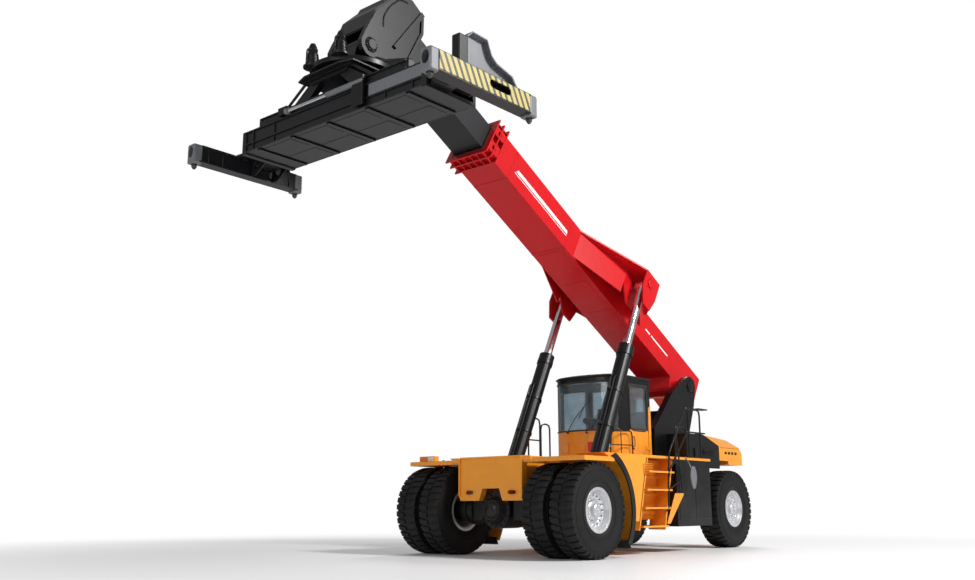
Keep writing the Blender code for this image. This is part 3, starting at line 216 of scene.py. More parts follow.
def make_edges():
    tree, into, out = group("rubbed_edges", {"Radius": 0.006, "Amount": 0.5},
                            {"Mask": "Float", "Normal": "Vector"})
    rounded = node(tree, "Bevel", {"Radius": into.outputs["Radius"]}, samples=4)
    flat = node(tree, "NewGeometry")
    same = node(tree, "VectorMath", {0: rounded.outputs[0], 1: flat.outputs["Normal"]},
                operation="DOT_PRODUCT")
    place = node(tree, "TexCoord")
    patches = node(tree, "TexNoise", {"Vector": place.outputs["Object"], "Scale": 9.0, "Detail": 6.0})
    bend = node(tree, "Math", {0: 1.0, 1: same.outputs["Value"]}, operation="SUBTRACT")
    rubbed = node(tree, "Math", {0: ramp(tree, bend.outputs[0], 0.04, 0.22),
                                 1: ramp(tree, patches.outputs["Fac"], 0.46, 0.62)}, operation="MULTIPLY")
    mask = node(tree, "Math", {0: rubbed.outputs[0], 1: into.outputs["Amount"]}, operation="MULTIPLY")
    tree.links.new(mask.outputs[0], out.inputs["Mask"])
    tree.links.new(rounded.outputs[0], out.inputs["Normal"])
    return tree


def make_grime():
    tree, into, out = group("grime", {"Height": 2.2, "Dust": 0.25, "Streaks": 0.2},
                            {"Dust": "Float", "Streaks": "Float", "Ripple": "Float"})
    place = node(tree, "TexCoord").outputs["Object"]
    heights = node(tree, "SeparateXYZ", {0: place})
    low_down = node(tree, "MapRange", {"Value": heights.outputs["Z"], "From Min": into.outputs["Height"],
                                       "From Max": 0.2, "To Min": 0.12, "To Max": 1.0})
    cloud = node(tree, "TexNoise", {"Vector": place, "Scale": 3.1, "Detail": 8.0, "Roughness": 0.62})
    dusty = node(tree, "Math",
                 {0: low_down.outputs["Result"], 1: ramp(tree, cloud.outputs["Fac"], 0.38, 0.72)},
                 operation="MULTIPLY")
    dust = node(tree, "Math", {0: dusty.outputs[0], 1: into.outputs["Dust"]}, operation="MULTIPLY")
    stretched = node(tree, "Mapping", {"Vector": place, "Scale": (7.0, 7.0, 0.55)})
    runs = node(tree, "TexNoise", {"Vector": stretched.outputs[0], "Scale": 2.4, "Detail": 5.0})
    streaks = node(tree, "Math", {0: ramp(tree, runs.outputs["Fac"], 0.52, 0.74), 1: into.outputs["Streaks"]},
                   operation="MULTIPLY")
    ripple = node(tree, "TexNoise", {"Vector": place, "Scale": 14.0, "Detail": 2.0})
    tree.links.new(dust.outputs[0], out.inputs["Dust"])
    tree.links.new(streaks.outputs[0], out.inputs["Streaks"])
    tree.links.new(ripple.outputs["Fac"], out.inputs["Ripple"])
    return tree


EDGES, GRIME = make_edges(), make_grime()
print("node groups:", EDGES.name, "and", GRIME.name)

# %% [markdown]
# ## Machine paints
# One function mixes a paint: its colour varies a little, dust and streaks dull it, and rubbed
# edges show the primer. `upper` gives a second colour above a height, as on a door whose frame is
# black over an orange panel.

# %% Paints
DUST_COLOUR = (0.36, 0.31, 0.25, 1)


def used_group(tree, shared, values):
    made = tree.nodes.new("ShaderNodeGroup")
    made.node_tree = shared
    for key, value in values.items():
        made.inputs[key].default_value = value
    return made


def blank_material(name):
    made = bpy.data.materials.new(name)
    made.use_nodes = True
    return made, made.node_tree, made.node_tree.nodes["Principled BSDF"]


def paint(name, colour, primer, roughness=0.3, metallic=0.0, coat=0.35, dust=0.3, streaks=0.25, wear=0.5,
          radius=0.006, upper=None, stripes=None, gloss=0.5):
    material, tree, shader = blank_material(name)
    edges = used_group(tree, EDGES, {"Radius": radius, "Amount": wear})
    grime = used_group(tree, GRIME, {"Dust": dust, "Streaks": streaks})
    place = node(tree, "TexCoord").outputs["Object"]
    tint = node(tree, "TexNoise", {"Vector": place, "Scale": 1.3, "Detail": 3.0})
    deep = tuple(c * 0.86 for c in colour) + (1,)
    full = tuple(min(1, c * 1.06) for c in colour) + (1,)
    base = blend_colour(tree, tint.outputs["Fac"], deep, full)
    if upper:
        top_colour, height = upper
        heights = node(tree, "SeparateXYZ", {0: place})
        base = blend_colour(tree, ramp(tree, heights.outputs["Z"], height, height + 0.002), base,
                            (*top_colour, 1))
    if stripes:
        second, width, slope = stripes
        parts = node(tree, "SeparateXYZ", {0: place})
        lean = node(tree, "Math", {0: parts.outputs["Z"], 1: slope, 2: parts.outputs["X"]},
                    operation="MULTIPLY_ADD")
        turn = node(tree, "Math", {0: lean.outputs[0], 1: 2 * width}, operation="DIVIDE")
        part = node(tree, "Math", {0: turn.outputs[0]}, operation="FRACT")
        base = blend_colour(tree, ramp(tree, part.outputs[0], 0.56, 0.58), base, (*second, 1))
    base = blend_colour(tree, grime.outputs["Streaks"], base, tuple(c * 0.45 for c in colour) + (1,))
    base = blend_colour(tree, grime.outputs["Dust"], base, DUST_COLOUR)
    base = blend_colour(tree, edges.outputs["Mask"], base, (*primer, 1))
    tree.links.new(base, shader.inputs["Base Color"])
    rough = node(tree, "Math", {0: grime.outputs["Dust"], 1: 0.5, 2: roughness}, operation="MULTIPLY_ADD")
    tree.links.new(rough.outputs[0], shader.inputs["Roughness"])
    bump = node(tree, "Bump", {"Strength": 0.035, "Distance": 0.02, "Height": grime.outputs["Ripple"],
                               "Normal": edges.outputs["Normal"]})
    tree.links.new(bump.outputs[0], shader.inputs["Normal"])
    shader.inputs["Metallic"].default_value = metallic
    shader.inputs["Coat Weight"].default_value = coat
    shader.inputs["Coat Roughness"].default_value = 0.12
    shader.inputs["Specular IOR Level"].default_value = gloss
    return material


ORANGE_COLOUR, BLACK_COLOUR = (0.90, 0.33, 0.018), (0.003, 0.0033, 0.004)
PRIMER, STEEL = (0.42, 0.40, 0.38), (0.30, 0.30, 0.31)
orange = paint("orange_gloss", ORANGE_COLOUR, PRIMER, dust=0.12, streaks=0.12, wear=0.3)
red = paint("boom_red", (0.56, 0.004, 0.008), PRIMER, coat=0.08, dust=0.04, streaks=0.15, wear=0.2,
            gloss=0.25)
black = paint("black_satin", BLACK_COLOUR, STEEL, roughness=0.36, coat=0.0, dust=0.05, wear=0.25, gloss=0.35)
charcoal = paint("charcoal_satin", (0.0065, 0.007, 0.0085), STEEL, roughness=0.36, coat=0.0, dust=0.03,
                 wear=0.35, gloss=0.4)
grey = paint("light_grey", (0.15, 0.155, 0.17), STEEL, roughness=0.4, coat=0.15, dust=0.1, wear=0.4)
cast = paint("cast_ballast", ORANGE_COLOUR, PRIMER, roughness=0.45, dust=0.4, wear=0.3)
door_paint = paint("door_two_tone", ORANGE_COLOUR, PRIMER, wear=0.3, upper=(BLACK_COLOUR, 2.45))
hazard = paint("hazard_stripes", (0.52, 0.42, 0.10), STEEL, roughness=0.5, coat=0.0, dust=0.1, wear=0.5,
               stripes=((0.03, 0.03, 0.03), 0.070, -0.50))
white = paint("stripe_white", (0.82, 0.80, 0.78), PRIMER, dust=0.1, wear=0.1)
silver = paint("rim_silver", (0.66, 0.67, 0.69), STEEL, roughness=0.3, metallic=0.55, dust=0.22, wear=0.3,
               radius=0.004)
iron = paint("bare_iron", (0.07, 0.068, 0.066), (0.2, 0.14, 0.1), roughness=0.62, metallic=0.5, coat=0,
             dust=0.5)
print(len(bpy.data.materials), "materials so far")

# %% [markdown]
# ## Chrome, glass, rubber and plastic
# A hydraulic rod is hard chrome with a trace of oil; its very fine rings from grinding are not drawn. Cab
# glass is thin and slightly blue-grey. Rubber is matt, greyer where it is scuffed, with a fine grain.

# %% Other finishes
def noise_bump(tree, shader, scale, strength, distance, detail=4.0):
    place = node(tree, "TexCoord").outputs["Object"]
    grain = node(tree, "TexNoise", {"Vector": place, "Scale": scale, "Detail": detail})
    bump = node(tree, "Bump", {"Strength": strength, "Distance": distance, "Height": grain.outputs["Fac"]})
    tree.links.new(bump.outputs[0], shader.inputs["Normal"])
    return grain.outputs["Fac"]


def make_chrome():
    material, tree, shader = blank_material("rod_chrome")
    place = node(tree, "TexCoord").outputs["Object"]
    oil = node(tree, "TexNoise", {"Vector": place, "Scale": 6.0, "Detail": 5.0})
    base = blend_colour(tree, oil.outputs["Fac"], (0.62, 0.63, 0.66, 1), (0.86, 0.87, 0.88, 1))
    tree.links.new(base, shader.inputs["Base Color"])
    tree.links.new(node(tree, "MapRange", {"Value": oil.outputs["Fac"], "To Min": 0.06,
                                           "To Max": 0.24}).outputs[0],
                   shader.inputs["Roughness"])
    shader.inputs["Metallic"].default_value = 1.0
    return material


def make_glass():
    material, tree, shader = blank_material("cab_glass")
    place = node(tree, "TexCoord").outputs["Object"]
    film = node(tree, "TexNoise", {"Vector": place, "Scale": 5.0, "Detail": 6.0})
    tree.links.new(blend_colour(tree, ramp(tree, film.outputs["Fac"], 0.35, 0.75), (0.66, 0.82, 0.92, 1),
                                (0.82, 0.92, 0.97, 1)), shader.inputs["Base Color"])
    tree.links.new(node(tree, "MapRange", {"Value": film.outputs["Fac"], "To Min": 0.02,
                                           "To Max": 0.12}).outputs[0],
                   shader.inputs["Roughness"])
    shader.inputs["Transmission Weight"].default_value = 0.95
    shader.inputs["IOR"].default_value = 1.45
    return material


def make_rubber():
    material, tree, shader = blank_material("tyre_rubber")
    scuff = noise_bump(tree, shader, 60.0, 0.25, 0.004)
    grime = used_group(tree, GRIME, {"Dust": 0.05, "Streaks": 0.0, "Height": 1.8})
    base = blend_colour(tree, ramp(tree, scuff, 0.4, 0.7), (0.002, 0.002, 0.0023, 1),
                        (0.007, 0.007, 0.007, 1))
    tree.links.new(blend_colour(tree, grime.outputs["Dust"], base, (0.10, 0.09, 0.08, 1)),
                   shader.inputs["Base Color"])
    shader.inputs["Roughness"].default_value = 0.6
    shader.inputs["Specular IOR Level"].default_value = 0.3
    return material


def make_plastic(name, colour, scale=240.0, roughness=0.5):
    material, tree, shader = blank_material(name)
    grain = noise_bump(tree, shader, scale, 0.2, 0.0015, 2.0)
    tree.links.new(blend_colour(tree, grain, tuple(c * 0.8 for c in colour) + (1,), (*colour, 1)),
                   shader.inputs["Base Color"])
    shader.inputs["Roughness"].default_value = roughness
    return material


def make_weave():
    material, tree, shader = blank_material("seat_cloth")
    place = node(tree, "TexCoord").outputs["Object"]
    threads = [node(tree, "TexWave", {"Vector": place, "Scale": 90.0, "Distortion": 1.0}, bands_direction=way)
               for way in ("X", "Z")]
    cloth = node(tree, "Math", {0: threads[0].outputs["Fac"], 1: threads[1].outputs["Fac"]},
                 operation="MULTIPLY")
    tree.links.new(blend_colour(tree, cloth.outputs[0], (0.016, 0.017, 0.020, 1), (0.060, 0.062, 0.068, 1)),
                   shader.inputs["Base Color"])
    bump = node(tree, "Bump", {"Strength": 0.4, "Distance": 0.002, "Height": cloth.outputs[0]})
    tree.links.new(bump.outputs[0], shader.inputs["Normal"])
    shader.inputs["Roughness"].default_value = 0.9
    shader.inputs["Sheen Weight"].default_value = 0.3
    return material


def make_lens(name, colour):
    material, tree, shader = blank_material(name)
    place = node(tree, "TexCoord").outputs["Object"]
    flutes = node(tree, "TexWave", {"Vector": place, "Scale": 28.0}, bands_direction="Y")
    tree.links.new(blend_colour(tree, flutes.outputs["Fac"], tuple(c * 0.7 for c in colour) + (1,),
                                (*colour, 1)),
                   shader.inputs["Base Color"])
    bump = node(tree, "Bump", {"Strength": 0.3, "Distance": 0.003, "Height": flutes.outputs["Fac"]})
    tree.links.new(bump.outputs[0], shader.inputs["Normal"])
    shader.inputs["Roughness"].default_value = 0.12
    shader.inputs["Coat Weight"].default_value = 0.8
    return material


chrome, glass, rubber, seat_cloth = make_chrome(), make_glass(), make_rubber(), make_weave()
plastic = make_plastic("black_plastic", (0.030, 0.031, 0.034))
pad_plastic = make_plastic("pad_plastic", (0.16, 0.15, 0.12), 80.0, 0.45)
lens_white, lens_amber = make_lens("clear_lens", (0.80, 0.82, 0.84)), make_lens("amber_lens",
        (0.75, 0.22, 0.02))
lens_red = make_lens("red_lens", (0.55, 0.01, 0.01))
print(len(bpy.data.materials), "materials in all")

# %% [markdown]
# ## Finishes on the frame's solids
# Each solid keeps its shape and gets the finish of the real piece. The list goes by finish, the
# way a paint shop sorts its racks.

# %% Paint the solids
FINISHES = {
    orange: ["chassis_frame", "deck_plate", "mudguard_left", "mudguard_right", "steps_left", "steps_right",
             "cab_body", "engine_hood"],
    red: ["outer_boom"], cast: ["counterweight"], door_paint: ["cab_door"],
    black: ["front_axle", "rear_axle", "boom_tower", "handrail_left", "handrail_right", "fuel_tank",
            "hydraulic_tank", "cab_frame", "engine_door_left", "engine_door_right", "knuckle_left",
            "knuckle_right", "lift_barrel_left", "lift_barrel_right", "rotator_head", "hood_cheek_left",
            "hood_cheek_right"],
    grey: ["mirror_left", "mirror_right"],
    charcoal: ["inner_boom", "slewing_frame", "spreader_frame", "arm_left", "arm_right"],
    hazard: ["end_beam_left", "end_beam_right"], chrome: ["lift_rod_left", "lift_rod_right"],
    rubber: ["front_tyres_left", "front_tyres_right", "rear_tyre_left", "rear_tyre_right"],
    silver: ["front_rim_left", "front_rim_right", "rear_rim_left", "rear_rim_right"],
    glass: ["windscreen", "side_glass_right", "rear_glass", "door_glass"],
    seat_cloth: ["operator_seat"], plastic: ["steering_console"], pad_plastic: ["slide_pads"],
    iron: ["engine_block"],
}
for finish, names in FINISHES.items():
    for name in names:
        solid = frame["nodes"].get(name)
        if solid is None:
            continue
        solid.data.materials.clear()
        solid.data.materials.append(finish)
print("finished", sum(len(names) for names in FINISHES.values()), "solids")

# %% [markdown]
# ## A small workshop
# Everything that is added below is cut, turned or bent from a few kinds of stock: a block, a
# round bar, a flat plate cut to an outline, a turned ring and a bent tube. Each helper adds one
# primitive, shapes it in edit mode and leaves the object at the origin with its place in its mesh.

# %% Stock: blocks, bars, plates, rings and tubes
def pick(piece):
    """Makes a piece the only selected one, and the active one."""
    bpy.ops.object.select_all(action="DESELECT")
    piece.select_set(True)
    bpy.context.view_layer.objects.active = piece


def settle(piece, name, finish, body=None):
    """Applies the place, names the piece, paints it and hangs it on its body."""
    pick(piece)
    bpy.ops.object.transform_apply(location=True, rotation=True, scale=True)
    piece.name = piece.data.name = name
    piece.data.materials.clear()
    piece.data.materials.append(finish)
    if body:
        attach(piece, body)
    return piece


def edit(piece):
    pick(piece)
    bpy.ops.object.mode_set(mode="EDIT")
    bpy.ops.mesh.select_all(action="SELECT")


def leave():
    bpy.ops.object.mode_set(mode="OBJECT")


def block(low, high, bevel=0.006):
    """A bevelled box between two corners."""
    low, high = Vector(low), Vector(high)
    bpy.ops.object.select_all(action="DESELECT")
    bpy.ops.mesh.primitive_cube_add(size=1, location=(low + high) / 2)
    piece = bpy.context.object
    piece.scale = high - low
    bpy.ops.object.transform_apply(location=True, rotation=True, scale=True)
    if bevel:
        edit(piece)
        bpy.ops.mesh.bevel(offset=bevel, segments=2, affect="EDGES")
        leave()
    return piece


def bar(start, end, radius, end_radius=None, sides=20, bevel=0.0):
    """A round bar or cone between two points, its rims broken by a small bevel."""
    start, end = Vector(start), Vector(end)
    way = end - start
    bpy.ops.object.select_all(action="DESELECT")
    bpy.ops.mesh.primitive_cone_add(vertices=sides, radius1=radius, depth=way.length,
                                    radius2=radius if end_radius is None else end_radius,
                                    location=(start + end) / 2,
                                    rotation=way.to_track_quat("Z", "Y").to_euler())
    piece = bpy.context.object
    bpy.ops.object.transform_apply(location=True, rotation=True, scale=True)
    if bevel:
        edit(piece)
        bpy.ops.mesh.select_all(action="DESELECT")
        leave()
        for edge in piece.data.edges:
            ends = [piece.data.vertices[i].co for i in edge.vertices]
            edge.select = abs((ends[0] - ends[1]).dot(way.normalized())) < 1e-4
        bpy.ops.object.mode_set(mode="EDIT")
        bpy.ops.mesh.bevel(offset=bevel, segments=2, affect="EDGES")
        leave()
    bpy.ops.object.shade_smooth_by_angle(angle=radians(35))
    return piece


def drawn(points):
    """A chain of edges, drawn by extruding one vertex from point to point."""
    points = [Vector(point) for point in points]
    bpy.ops.object.select_all(action="DESELECT")
    bpy.ops.mesh.primitive_plane_add(size=0.01, location=points[0])
    piece = bpy.context.object
    bpy.ops.object.transform_apply(location=True)
    edit(piece)
    bpy.ops.mesh.merge(type="CENTER")
    for near, far in zip(points, points[1:]):
        bpy.ops.mesh.extrude_region_move(TRANSFORM_OT_translate={"value": far - near})
    leave()
    return piece


def plate(points, depth, bevel=0.004):
    """A flat plate cut to an outline and extruded by the vector depth."""
    piece = drawn(points)
    edit(piece)
    bpy.ops.mesh.edge_face_add()
    bpy.ops.mesh.extrude_region_move(TRANSFORM_OT_translate={"value": Vector(depth)})
    bpy.ops.mesh.select_all(action="SELECT")
    bpy.ops.mesh.normals_make_consistent(inside=False)
    if bevel:
        bpy.ops.mesh.bevel(offset=bevel, segments=2, affect="EDGES")
    leave()
    return piece


def turned(points, centre, axis=(0, 1, 0), steps=48):
    """An outline spun round an axis into a closed ring, or a solid where it meets the axis."""
    piece = drawn(points)
    edit(piece)
    if (Vector(points[0]) - Vector(points[-1])).length > 1e-6:
        on_axis = all((Vector(p) - Vector(centre)).cross(Vector(axis)).length < 1e-5 for p in (points[0],
                points[-1]))
        if not on_axis:
            bpy.ops.mesh.edge_face_add()
            bpy.ops.mesh.delete(type="ONLY_FACE")
            bpy.ops.mesh.select_all(action="SELECT")
    bpy.ops.mesh.spin(steps=steps, angle=2 * pi, center=centre, axis=axis)
    bpy.ops.mesh.select_all(action="SELECT")
    bpy.ops.mesh.remove_doubles(threshold=0.0002)
    bpy.ops.mesh.normals_make_consistent(inside=False)
    leave()
    bpy.ops.object.shade_smooth_by_angle(angle=radians(35))
    return piece


def repeated(piece, count, centre, axis):
    """The same shape again and again round an axis, in one mesh."""
    edit(piece)
    bpy.ops.mesh.spin(steps=count, angle=2 * pi, center=centre, axis=axis, dupli=True)
    bpy.ops.mesh.select_all(action="SELECT")
    bpy.ops.mesh.remove_doubles(threshold=0.00005)
    leave()
    return piece


def tube(points, radius, sides=2, turn_radius=0.06):
    """A bent round bar: straight runs with rounded corners, closed at both ends."""
    points = [Vector(point) for point in points]
    path = [points[0]]
    for before, corner, after in zip(points, points[1:], points[2:]):
        cut = min(turn_radius, (corner - before).length * 0.45, (after - corner).length * 0.45)
        first, last = corner + (before - corner).normalized() * cut, corner + (after
                - corner).normalized() * cut
        path += [first, (first + last + 2 * corner) / 4, last]
    path.append(points[-1])
    curve = bpy.data.curves.new("tube", "CURVE")
    curve.dimensions, curve.use_fill_caps = "3D", True
    curve.bevel_depth, curve.bevel_resolution = radius, sides
    spline = curve.splines.new("POLY")
    spline.points.add(len(path) - 1)
    for point, place in zip(spline.points, path):
        point.co = (*place, 1)
    piece = bpy.data.objects.new("tube", curve)
    bpy.context.scene.collection.objects.link(piece)
    pick(piece)
    bpy.ops.object.convert(target="MESH")
    piece = bpy.context.object
    edit(piece)
    bpy.ops.mesh.remove_doubles(threshold=0.0001)
    bpy.ops.mesh.normals_make_consistent(inside=False)
    leave()
    bpy.ops.object.shade_smooth_by_angle(angle=radians(40))
    return piece


def joined(pieces):
    bpy.ops.object.select_all(action="DESELECT")
    for piece in pieces:
        piece.select_set(True)
    bpy.context.view_layer.objects.active = pieces[0]
    bpy.ops.object.join()
    return pieces[0]


def cut(piece, cutters):
    """Drills or mills a piece with other shapes, which are used up."""
    for cutter in cutters:
        modifier = piece.modifiers.new("cut", "BOOLEAN")
        modifier.operation, modifier.object, modifier.solver = "DIFFERENCE", cutter, "EXACT"
        bpy.ops.object.select_all(action="DESELECT")
        bpy.context.view_layer.objects.active = piece
        bpy.ops.object.modifier_apply(modifier=modifier.name)
        bpy.data.objects.remove(cutter)
    return piece


def copied(piece, name, body, matrix):
    """A copy with its own mesh, set down by a matrix. A mirror image is turned right side out."""
    twin = piece.copy()
    twin.data = piece.data.copy()
    bpy.context.scene.collection.objects.link(twin)
    twin.data.transform(matrix)
    if matrix.determinant() < 0:
        twin.data.flip_normals()
    twin.name = twin.data.name = name
    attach(twin, body)
    return twin


MIRROR = Matrix.Diagonal((1, -1, 1, 1))

# %% [markdown]
# ## Tyres
# A port tyre is nearly as wide as it is tall in section, with a square shoulder and deep slanted
# lugs that wrap onto the sidewall. A ring of 38 lugs on each shoulder is one lug modelled once and
# spun round the axle. The carcass is turned from its section, which bulges at the sidewall.

# %% One tyre
TYRE_WIDTH = 0.51
TREAD_DEPTH = 0.026
LUGS = 38
FLANGE_RADIUS = 0.39


def make_tyre(centre):
    half, crown = TYRE_WIDTH / 2, TYRE_RADIUS - TREAD_DEPTH
    section = [(FLANGE_RADIUS - 0.03, -half + 0.07), (FLANGE_RADIUS, -half + 0.035), (0.46, -half + 0.012),
               (0.56, -half), (0.66, -half + 0.004), (0.735, -half + 0.018), (crown - 0.018, -half + 0.030),
               (crown, -half + 0.060), (crown + 0.004, 0)]
    section += [(radius, -y) for radius, y in section[-2::-1]]
    carcass = turned([centre + Vector((0, y, radius)) for radius, y in section], centre, steps=76)
    step = 2 * pi * TYRE_RADIUS / LUGS
    lugs = []
    for side in (1, -1):
        lug = block((-step * 0.29, 0.03, -0.012), (step * 0.29, half - 0.02, TREAD_DEPTH), 0)
        edit(lug)
        bpy.ops.mesh.subdivide(number_cuts=2)
        leave()
        for vertex in lug.data.vertices:
            x, y, z = vertex.co
            reach = y / half
            vertex.co = (x * (1.0 + 0.25 * reach) + 0.030 * (1 - reach) + (0.012 if side < 0 else 0),
                         side * (y + 0.010 * max(0, reach - 0.6)),
                         crown + z - 0.085 * max(0.0, reach - 0.78) ** 1.1 * (3.2 if z < 0.02 else 2.0))
            vertex.co += centre
        edit(lug)
        bpy.ops.mesh.normals_make_consistent(inside=False)
        bpy.ops.mesh.bevel(offset=0.003, segments=1, affect="EDGES")
        leave()
        lug = repeated(lug, LUGS, centre, (0, 1, 0))
        if side < 0:
            lug.data.transform(Matrix.Translation(centre) @ Matrix.Rotation(pi / LUGS, 4, "Y")
                               @ Matrix.Translation(-centre))
        lugs.append(lug)
    rings = []
    for radius in (0.50, 0.695):
        for side in (1, -1):
            y = side * (half - 0.004 if radius < 0.6 else half - 0.009)
            ring = turned([centre + Vector((0, y - side * 0.012, radius - 0.010)),
                           centre + Vector((0, y + side * 0.004, radius - 0.004)),
                           centre + Vector((0, y + side * 0.004, radius + 0.004)),
                           centre + Vector((0, y - side * 0.012, radius + 0.010))],
                          centre, steps=76)
            rings.append(ring)
    return joined([carcass] + lugs + rings)


outer_left = at(0, tyre_high.y - TYRE_WIDTH / 2, TYRE_RADIUS)
inner_left = at(0, tyre_low.y + TYRE_WIDTH / 2, TYRE_RADIUS)
rear_low, rear_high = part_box("rear_tyre_left")
rear_left = (rear_low + rear_high) / 2
first_tyre = settle(make_tyre(Vector((0, 0, 0))), "tyre_pattern", rubber)
for name, place, body, nodes in (("front_tyre_outer", outer_left, "front_wheels", "front_tyres"),
                                 ("front_tyre_inner", inner_left, "front_wheels", "front_tyres"),
                                 ("rear_tyre", rear_left, "rear_wheel", "rear_tyre")):
    for side, flip in (("left", Matrix.Identity(4)), ("right", MIRROR)):
        made = copied(first_tyre, f"{name}_{side}_tread", f"{body}_{side}", flip @ Matrix.Translation(place))
        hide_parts(f"{nodes}_{side}")
print("tyre:", len(first_tyre.data.polygons), "faces")
bpy.data.objects.remove(first_tyre)

# %% [markdown]
# ## Wheels
# A port machine's wheel is a deep dish: a wide flange, a gutter, a sloping well with hand holes,
# and the end cap of the hub gear in the middle, which almost reaches the flange. The dish is turned
# in one go, the hand holes are drilled through it, and the nuts are one hexagon spun round.

# %% Rims
def make_rim(width, hand_holes, nuts):
    """A rim with its outer face at y = 0 and its axle along y. It reaches inwards to -width."""
    axle = Vector((0, 0, 0))
    profile = [(0, -0.030), (0.085, -0.030), (0.105, -0.045), (0.118, -0.110), (0.150, -0.118),
               (0.165, -0.135),
               (0.205, -0.140), (0.225, -0.128), (0.290, -0.105), (0.305, -0.060), (0.330, -0.040),
               (0.340, -0.012), (0.362, -0.014), (0.368, -0.004), (0.392, -0.010), (0.396, -0.024),
               (0.386, -0.036), (0.345, -0.046), (0.332, -0.07), (0.332, -width + 0.07),
               (0.386, -width + 0.036),
               (0.392, -width + 0.012), (0.345, -width + 0.014), (0.318, -width + 0.05), (0.305, -0.20),
               (0.21, -0.18), (0.21, -width / 2), (0, -width / 2)]
    dish = turned([axle + Vector((0, y, radius)) for radius, y in profile], axle, steps=64)
    holes = repeated(bar((0, -0.02, 0.258), (0, -0.24, 0.258), 0.024, sides=14), hand_holes, axle, (0, 1, 0))
    cut(dish, [holes])
    nut = bar((0, -0.142, 0.186), (0, -0.100, 0.186), 0.0155, 0.014, sides=6, bevel=0.003)
    stud = bar((0, -0.142, 0.186), (0, -0.086, 0.186), 0.007, sides=8)
    cap_bolt = bar((0, -0.032, 0.066), (0, -0.020, 0.066), 0.010, sides=6)
    plug = bar((0, -0.032, 0), (0, -0.014, 0), 0.026, 0.020, sides=16, bevel=0.003)
    return joined([dish, repeated(joined([nut, stud]), nuts, axle, (0, 1, 0)),
                   repeated(cap_bolt, 8, axle, (0, 1, 0)), plug])


TWIN_WIDTH = tyre_high.y - tyre_low.y - 0.03
for name, width, holes, place, body in (
        ("front_rim", TWIN_WIDTH, 16, at(0, tyre_high.y - 0.015, TYRE_RADIUS), "front_wheels"),
        ("rear_rim", TYRE_WIDTH - 0.03, 12, rear_left + Vector((0, TYRE_WIDTH / 2 - 0.015, 0)),
         "rear_wheel")):
    pattern = settle(make_rim(width, holes, 20), name, silver)
    for side, flip in (("left", Matrix.Identity(4)), ("right", MIRROR)):
        made = copied(pattern, f"{name}_{side}_dish", f"{body}_{side}", flip @ Matrix.Translation(place))
        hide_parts(f"{name}_{side}")
    print(name, len(pattern.data.polygons), "faces")
    bpy.data.objects.remove(pattern)

# %% [markdown]
# ## Wings
# The front wings are plain bent plates with a folded edge. Over the tyre the edge carries a black
# band that keeps spray in. The band follows the arch, so its outline is two arcs.

# %% Wing edges and mud flaps
def arc_points(radius, start, end, steps, y):
    turns = [radians(start + (end - start) * i / steps) for i in range(steps + 1)]
    return [at(radius * cos(a), y, TYRE_RADIUS + radius * sin(a)) for a in turns]


wing_low, wing_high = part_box("mudguard_left")
WING_OUT, WING_TOP = wing_high.y, wing_high.z
ARCH = TYRE_RADIUS + 0.29


def mirrored_pair(piece, name, finish, body="chassis"):
    """The left piece and its mirror image on the right."""
    settle(piece, name + "_left", finish, body)
    twin = copied(piece, name + "_right", body, MIRROR)
    return piece, twin


band = plate(arc_points(ARCH + 0.012, 118, 213, 22, WING_OUT - 0.012)
             + arc_points(ARCH - 0.105, 213, 112, 22, WING_OUT - 0.012), (0, 0.026, 0), 0.003)
mirrored_pair(band, "wing_band", black)
fold = block(at(-0.50, WING_OUT - 0.030, WING_TOP - 0.075), at(0.425, WING_OUT + 0.004, WING_TOP + 0.006))
mirrored_pair(fold, "wing_fold", orange)
front_fold = block(at(0.405, wing_low.y + 0.03, WING_TOP - 0.075),
                   at(0.432, WING_OUT + 0.002, WING_TOP + 0.006))
mirrored_pair(front_fold, "wing_front_fold", orange)
flap = plate([at(-0.90, 1.02, 0.30), at(-0.93, 1.02, 0.30), at(-0.985, 1.02, 0.16), at(-0.955, 1.02, 0.16)],
             (0, 1.06, 0), 0.003)
mirrored_pair(flap, "mud_flap", rubber)
lamp_body = block(at(0.18, -1.98, WING_TOP), at(0.30, -1.56, WING_TOP + 0.115), 0.012)
settle(lamp_body, "wing_lamp_housing", orange, "chassis")
settle(block(at(0.295, -1.95, WING_TOP + 0.018), at(0.312, -1.76, WING_TOP + 0.098), 0.010),
       "wing_lamp_amber",
       lens_amber, "chassis")
settle(block(at(0.295, -1.74, WING_TOP + 0.018), at(0.312, -1.59, WING_TOP + 0.098), 0.010),
       "wing_lamp_clear",
       lens_white, "chassis")
print("wing top at", round(WING_TOP, 3), "m, arch radius", round(ARCH, 3), "m")

# %% [markdown]
# ## Front plate and frame
# The front plate has two raised ribs beside it, two slots with a pressed rim and a folded top edge,
# all thin plate, so each is a plate or a block on its face. A blank plate stands where a maker
# would put a name.

# %% Front plate
FRONT_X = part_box("chassis_frame")[1].x - AXLE_X
SLOT_SIDE, SLOT_HEIGHT, SLOT_STRETCH = 0.51, 1.15, 2.1
for side, flip in (("left", 1), ("right", -1)):
    rib = plate([at(FRONT_X - 0.02, flip * 0.735, 1.80), at(FRONT_X + 0.035, flip * 0.735, 1.79),
                 at(FRONT_X + 0.035, flip * 0.735, 1.10), at(FRONT_X - 0.02, flip * 0.735, 1.02)],
                (0, flip * 0.03, 0))
    settle(rib, f"front_rib_{side}", orange, "chassis")
    lug = plate([at(FRONT_X - 0.02, flip * 0.735, 1.70), at(FRONT_X - 0.02, flip * 0.735, 1.79),
                 at(FRONT_X - 0.02, flip * 0.93, 1.79), at(FRONT_X - 0.02, flip * 0.98, 1.70)], (0.03, 0, 0))
    settle(lug, f"front_bracket_{side}", orange, "chassis")
settle(block(at(FRONT_X - 0.004, -0.72, 1.765), at(FRONT_X + 0.02, 0.72, 1.80)), "front_top_fold", orange,
       "chassis")
